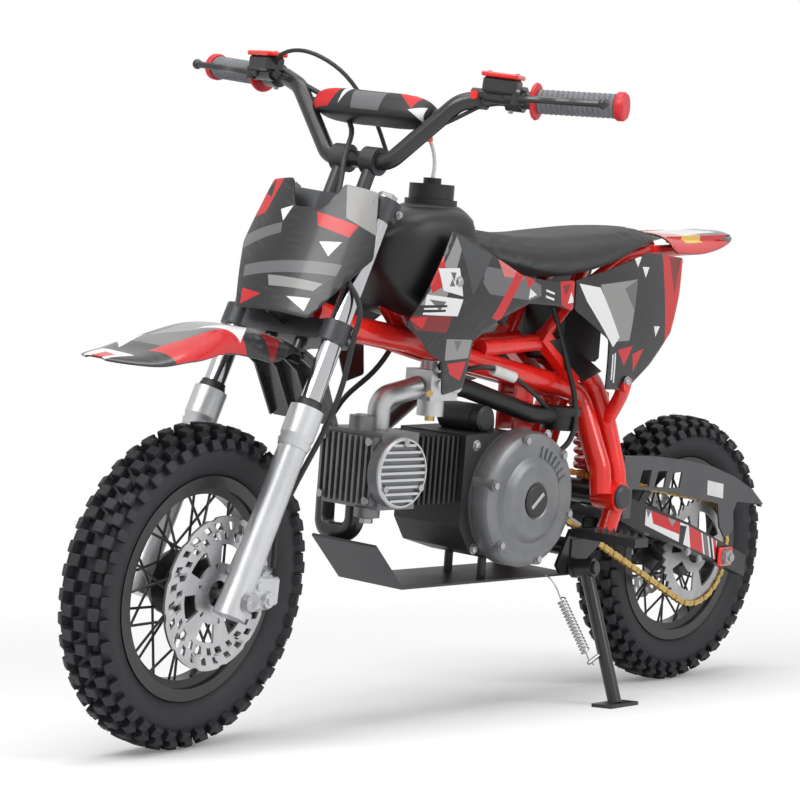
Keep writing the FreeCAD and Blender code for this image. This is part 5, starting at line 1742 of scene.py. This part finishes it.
@dataclass
class EngineTrim:
    """Screws, bright fin edges, plug lead, hoses, starter motor and small fittings on the engine."""

    x: float = 198.0
    z: float = 340.0
    head_radius: float = 42.0
    screw_reach: float = 39.0

    def build(self, materials: Materials) -> None:
        """Each finish as one piece."""
        self.screws(materials)
        self.fins(materials)
        self.lines(materials)
        self.fittings(materials)
        self.starter(materials)
        self.carburettor(materials)

    def screws(self, materials: Materials) -> None:
        """Screws of the head, its covers and the crankcase, and the two valve caps."""
        bright = Piece("engine_screws")
        for angle in (90, 210, 330):
            turn = math.radians(angle)
            reach = Vector((math.cos(turn), 0, math.sin(turn))) * self.screw_reach
            spot = Vector((self.x, 70, self.z)) + reach
            bright.rod(spot - LEFT * 5, spot + LEFT * 4, 5, sides=6)
        for z in (302, 378):
            for y in (-38, 42):
                bright.rod((226, y, z), (238, y, z), 5.5, sides=6)
        for x, z in ((40, 372), (-110, 384), (-140, 236), (30, 232)):
            bright.bolt((x, 56, z), (0, 1, 0), 5, 4)
        bright.rod((211, 4, 402), (211, 4, 410), 9, sides=6)
        bright.rod((211, 24, 276), (211, 24, 270), 9, sides=6)
        bright.wear("chassis", "bright_steel", materials)

    def fins(self, materials: Materials) -> None:
        """Bright edges of the fins and the ring round them."""
        edges = Piece("fin_edges")
        for i in range(9):
            z = self.z - 36 + i * 9
            half = math.sqrt(self.head_radius ** 2 - (z - self.z) ** 2)
            edges.block((2 * half, 1.0, 3.6), Matrix.Translation((self.x, 70.3, z)), 0.3)
        outline = [(66, 42.5), (66, 46.3), (69, 46.3), (71, 44.6), (71, 42.5)]
        edges.lathe(outline, (self.x, 0, self.z), (0, 1, 0), 64)
        edges.wear("chassis", "bare_aluminium", materials)

    def lines(self, materials: Materials) -> None:
        """Plug lead with its cap, fuel and breather lines, and the wires up from the engine."""
        lines = Piece("engine_lines")
        lines.tube([(176, -50, 352), (196, -74, 362), (186, -66, 410), (150, -30, 470), (120, -20, 520)], 3.6)
        lines.rod((176, -46, 350), (184, -62, 356), 8)
        lines.tube([(96, 30, 470), (110, 44, 500), (124, 40, 530), (140, 30, 560)], 3.0)
        lines.tube([(96, 56, 524), (110, 64, 500), (112, 58, 478), (104, 38, 462)], 3.4)
        lines.tube([(66, 20, 462), (40, 50, 476), (0, 62, 470), (-60, 60, 446), (-120, 44, 420)], 3.4)
        lines.tube([(-120, 54, 350), (-150, 66, 380), (-160, 60, 430), (-150, 50, 480), (-120, 40, 560)], 4.0)
        lines.finish("chassis", "matt_plastic", materials["hose_rubber"])

    def fittings(self, materials: Materials) -> None:
        """White sleeves on the fuel and breather lines, and the brass bits of the carburettor."""
        bits = Piece("fuel_bits")
        bits.rod((108, 62, 498), (111, 60, 476), 7.5)
        bits.rod((20, 57, 474), (-20, 62, 464), 7.5)
        bits.finish("chassis", "bare_aluminium", materials["white_plastic"])
        brass = Piece("brass_bits")
        brass.rod((92, 15, 408), (92, 15, 401), 7, sides=6)
        brass.rod((120, 36, 440), (126, 42, 440), 5, sides=6)
        brass.wear("chassis", "gold_chain", materials)

    def starter(self, materials: Materials) -> None:
        """Starter motor on the crankcase."""
        starter = Piece("starter_motor")
        outline = [(-34, 0.1), (-34, 16), (-30, 19.5), (26, 19.5), (26, 18), (40, 18), (43, 14), (43, 0.1)]
        starter.lathe(outline, (6, 0, 405), (0, 1, 0), 40)
        starter.block((26, 30, 20), Matrix.Translation((-20, 10, 394)), 2.0)
        starter.wear("chassis", "engine_black", materials)

    def carburettor(self, materials: Materials) -> None:
        """Slide cap, its cable's nut, collar and side screws of the carburettor."""
        top = Piece("carburettor_trim")
        top.rod((94, 15, 470), (94, 15, 482), 17, 15)
        top.rod((94, 15, 482), (94, 15, 494), 6, 4)
        top.rod((92, 15, 430), (92, 15, 433), 21)
        top.rod((72, 38, 450), (72, 43, 450), 9)
        top.rod((104, 38, 452), (104, 42, 452), 6)
        top.wear("chassis", "bare_aluminium", materials)


@dataclass
class ForkTrim:
    """Dust seals, caps, axle clamps, caliper, brake hose and cables of the front end."""

    side: float = FORK_SPACING / 2
    hose_rows: tuple[Point, ...] = (
        (560, 14, 26), (450, 44, 22), (415, 80, 21.5), (385, 102, 4), (350, 103, -4), (270, 99, -22),
        (150, 79.4, -27), (118, 57, -50), (60, 60, -70),
    )

    def build(self, materials: Materials) -> None:
        """Each finish as one piece."""
        rubber = Piece("fork_seals", FRONT)
        steel = Piece("fork_bolts", FRONT)
        cast = Piece("fork_castings", FRONT)
        for y in (-self.side, self.side):
            rubber.rod(fork_point(247, y), fork_point(256, y), 18.5, 16)
            rubber.rod(fork_point(256, y), fork_point(259, y), 15.5)
            steel.rod(fork_point(534, y), fork_point(540, y), 13, sides=6)
            cast.rod(fork_point(196, y), fork_point(204, y), 19.4, 21.5)
            cast.rod(fork_point(-24, y), fork_point(24, y), 21, 18.4)
            out = (0, math.copysign(1, y), 0)
            steel.bolt(fork_point(-4, y + math.copysign(20.5, y)), out, 7, 6)
            for q in (LOWER_CLAMP_Q + 8, LOWER_CLAMP_Q + 19, UPPER_CLAMP_Q + 13):
                steel.bolt(fork_point(q, y * 1.02 + math.copysign(20.0, y), -6), out, 3.6, 4)
        rubber.tube(self.hose(), 3.5, 3)
        throttle = [(214, -186, 826), (240, -150, 862), (236, -80, 858), (212, -20, 800), (196, 8, 740)]
        clutch = [(216, 150, 818), (232, 110, 792), (226, 60, 776), (206, 22, 736)]
        rubber.tube(throttle, 2.8)
        rubber.tube(clutch, 2.6)
        rubber.finish("steering", "matt_plastic", materials["hose_rubber"])
        steel.wear("steering", "bright_steel", materials)
        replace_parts(self.caliper().wear("steering", "bare_aluminium", materials), "front_caliper")
        cast.wear("steering", "bare_aluminium", materials)

    def hose(self) -> list[Vector]:
        """Line of the brake hose, from the right hand control to the front caliper."""
        return [
            Vector((222, -166, 834)), Vector((226, -120, 824)), Vector((222, -50, 790)),
            *(fork_point(*row) for row in self.hose_rows),
        ]

    def caliper(self) -> Piece:
        """Two halves over the disc, joined behind its edge, with two round bosses and the leg's bracket."""
        piece = Piece("caliper_castings", FRONT)
        at = fork_point(20, 0, -62)
        for y, wall in ((53.5, 12.0), (35.5, 9.0)):
            piece.block((52, wall, 44), Matrix.Translation(at + Vector((-6, y, 2))), 4.0)
        piece.block((12, 26, 36), Matrix.Translation(at + Vector((-39, 45, 2))), 3.0)
        for x, z in ((6, 14), (-18, -6)):
            piece.rod(at + Vector((x, 58, z)), at + Vector((x, 65, z)), 11.5, 10)
            piece.rod(at + Vector((x, 65, z)), at + Vector((x, 68, z)), 6, sides=6)
        for q in (34, 2):
            piece.rod(fork_point(q, 56, -52), fork_point(q, 57, 0), 8)
        piece.rod(at + Vector((-14, 46, 20)), at + Vector((-16, 58, 32)), 6)
        return piece


@dataclass
class StandSpring:
    """Coil spring from the footpeg bracket to the stand's leg, with its hooks and the leg's peg."""

    top: Point = (-98, 96, 186)
    foot: Point = (-163, 122, 74)
    leg: Point = (-188, 126, 88)
    wire: float = 1.1
    coil_shares: Pair = (0.22, 0.88)

    def build(self, material: bpy.types.Material) -> None:
        """The spring, its hooks and the leg's peg as one piece, hung on no body."""
        top, foot, leg = Vector(self.top), Vector(self.foot), Vector(self.leg)
        run = foot - top
        spring = Piece("stand_spring")
        first, last = (top + run * share for share in self.coil_shares)
        spring.coil(first, last, 6.0, self.wire, 16)
        spring.tube([top + Vector((0, -14, 8)), top, first], self.wire)
        spring.tube([last, foot, foot + Vector((-6, 2, -4))], self.wire)
        spring.rod(leg, foot + (foot - leg).normalized() * 4, 3.0, sides=12)
        obj = spring.finish("", "bright_steel", material)
        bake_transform(obj)


@dataclass
class ChassisTrim:
    """Bolts, pivot caps, adjusters, teeth of the pegs, a blank plate, battery box and the cap's vent tube."""

    def build(self, materials: Materials) -> None:
        """Each finish as one piece."""
        self.bolts(materials)
        self.adjusters(materials)
        self.pivot_caps(materials)
        self.peg_teeth(materials)
        self.covers(materials)

    def bolts(self, materials: Materials) -> None:
        """Axle nuts and the bolts of panels, swingarm and shrouds, on both sides."""
        steel = Piece("chassis_bolts")
        table = (
            (-500, 103, AXLE_HEIGHT, 9, 7), (-232, 93.5, 462, 5, 3), (-440, 96, 200, 4, 3),
            (-412, 95, 212, 4, 3), (150, 98.5, 590, 5, 3),
        )
        for side in (-1, 1):
            for x, y, z, size, height in table:
                steel.bolt((x, side * y, z), (0, side, 0), size, height)
        steel.wear("chassis", "bright_steel", materials)

    def adjusters(self, materials: Materials) -> None:
        """Red chain adjusters and the red end of the cap's vent tube."""
        red = Piece("adjusters")
        for side in (-1, 1):
            red.block((34, 6, 28), Matrix.Translation((-500, side * 101, AXLE_HEIGHT)), 2.0)
        red.rod((118, 0, 770), (124, 2, 786), 5, 4)
        red.wear("chassis", "red_paint", materials)

    def pivot_caps(self, materials: Materials) -> None:
        """Caps on the ends of the swingarm's pivot."""
        caps = Piece("pivot_caps")
        outline = [(0, 0.1), (0, 17), (4, 17), (7, 13), (7, 0.1)]
        for side in (-1, 1):
            caps.lathe(outline, (-243, side * 92, 298), (0, side, 0), 32)
        caps.wear("chassis", "dark_metal", materials)

    def peg_teeth(self, materials: Materials) -> None:
        """Two rows of teeth on each footpeg."""
        teeth = Piece("peg_teeth")
        for side in (-1, 1):
            for i in range(6):
                y = side * (167 - i * 13)
                for x in (-202, -180):
                    teeth.rod((x, y, 250), (x, y, 258), 4.5, 1.5, sides=4)
        teeth.wear("chassis", "black_paint", materials)

    def covers(self, materials: Materials) -> None:
        """Blank plate on the frame's gusset, battery box under the seat and the cap's vent tube."""
        label = Piece("gusset_plate")
        label.sheet([(-111, 513), (-140, 519), (-233, 472), (-192, 457)], 45, 2)
        label.wear("chassis", "black_plastic", materials)
        box = Piece("battery_box")
        box.block((96, 72, 104), Matrix.Translation((-196, 0, 536)), 6.0)
        box.wear("chassis", "matt_plastic", materials)
        vent = Piece("vent_tube")
        vent.tube([(106, 0, 720), (104, 0, 738), (108, 0, 756), (120, 0, 776)], 2.6)
        vent.finish("chassis", "bare_aluminium", materials["white_plastic"])


def hardware(materials: Materials) -> None:
    """Controls, discs, chain, engine covers and small fittings."""
    Grips().build(materials)
    HandControls().build(materials)
    front = BrakeDisc("front_disc_plate", "front_wheel", FRONT, WHEELBASE / 2, 44.0, 95.0)
    rear = BrakeDisc("rear_disc_plate", "rear_wheel", BIKE, -WHEELBASE / 2, -50.0, 85.0)
    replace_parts(front.build(materials["disc_steel"]), "front_disc")
    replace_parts(rear.build(materials["disc_steel"]), "rear_disc")
    wheel = ChainWheel("chain_wheel", "rear_wheel", BIKE, -WHEELBASE / 2, 46.2, 81.4)
    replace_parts(wheel.build(materials["bright_steel"]), "rear_sprocket")
    Chain().build(materials["gold_chain"])
    ChainGuard().build(materials)
    StandSpring().build(materials["bright_steel"])
    MagnetoCover().build(materials)
    EngineTrim().build(materials)
    ForkTrim().build(materials)
    ChassisTrim().build(materials)


def dress_nodes(materials: Materials) -> None:
    """Gives every node that stays in view the finish of its slot."""
    for name, obj in frame["nodes"].items():
        slots = [m.name.split(".")[0] for m in obj.data.materials if m]
        for i, slot in enumerate(slots):
            obj.data.materials[i] = materials.get(slot, materials["black_paint"])
        LOG.info("%s wears %s", name, slots)


def main() -> None:
    """Builds the stage, the finishes and each sub-assembly in order."""
    logging.basicConfig(level=logging.INFO, format="%(message)s")
    Studio().build()
    materials = finishes()
    dress_nodes(materials)
    for tyre in (
        KnobbyTyre("front_tyre_tread", "front_wheel", FRONT, WHEELBASE / 2, seed=3),
        KnobbyTyre("rear_tyre_tread", "rear_wheel", BIKE, -WHEELBASE / 2, seed=5),
    ):
        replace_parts(tyre.build(materials["tyre_rubber"]), tyre.name.replace("_tread", ""))
    bodywork(materials)
    hardware(materials)


if __name__ == "__main__":
    main()
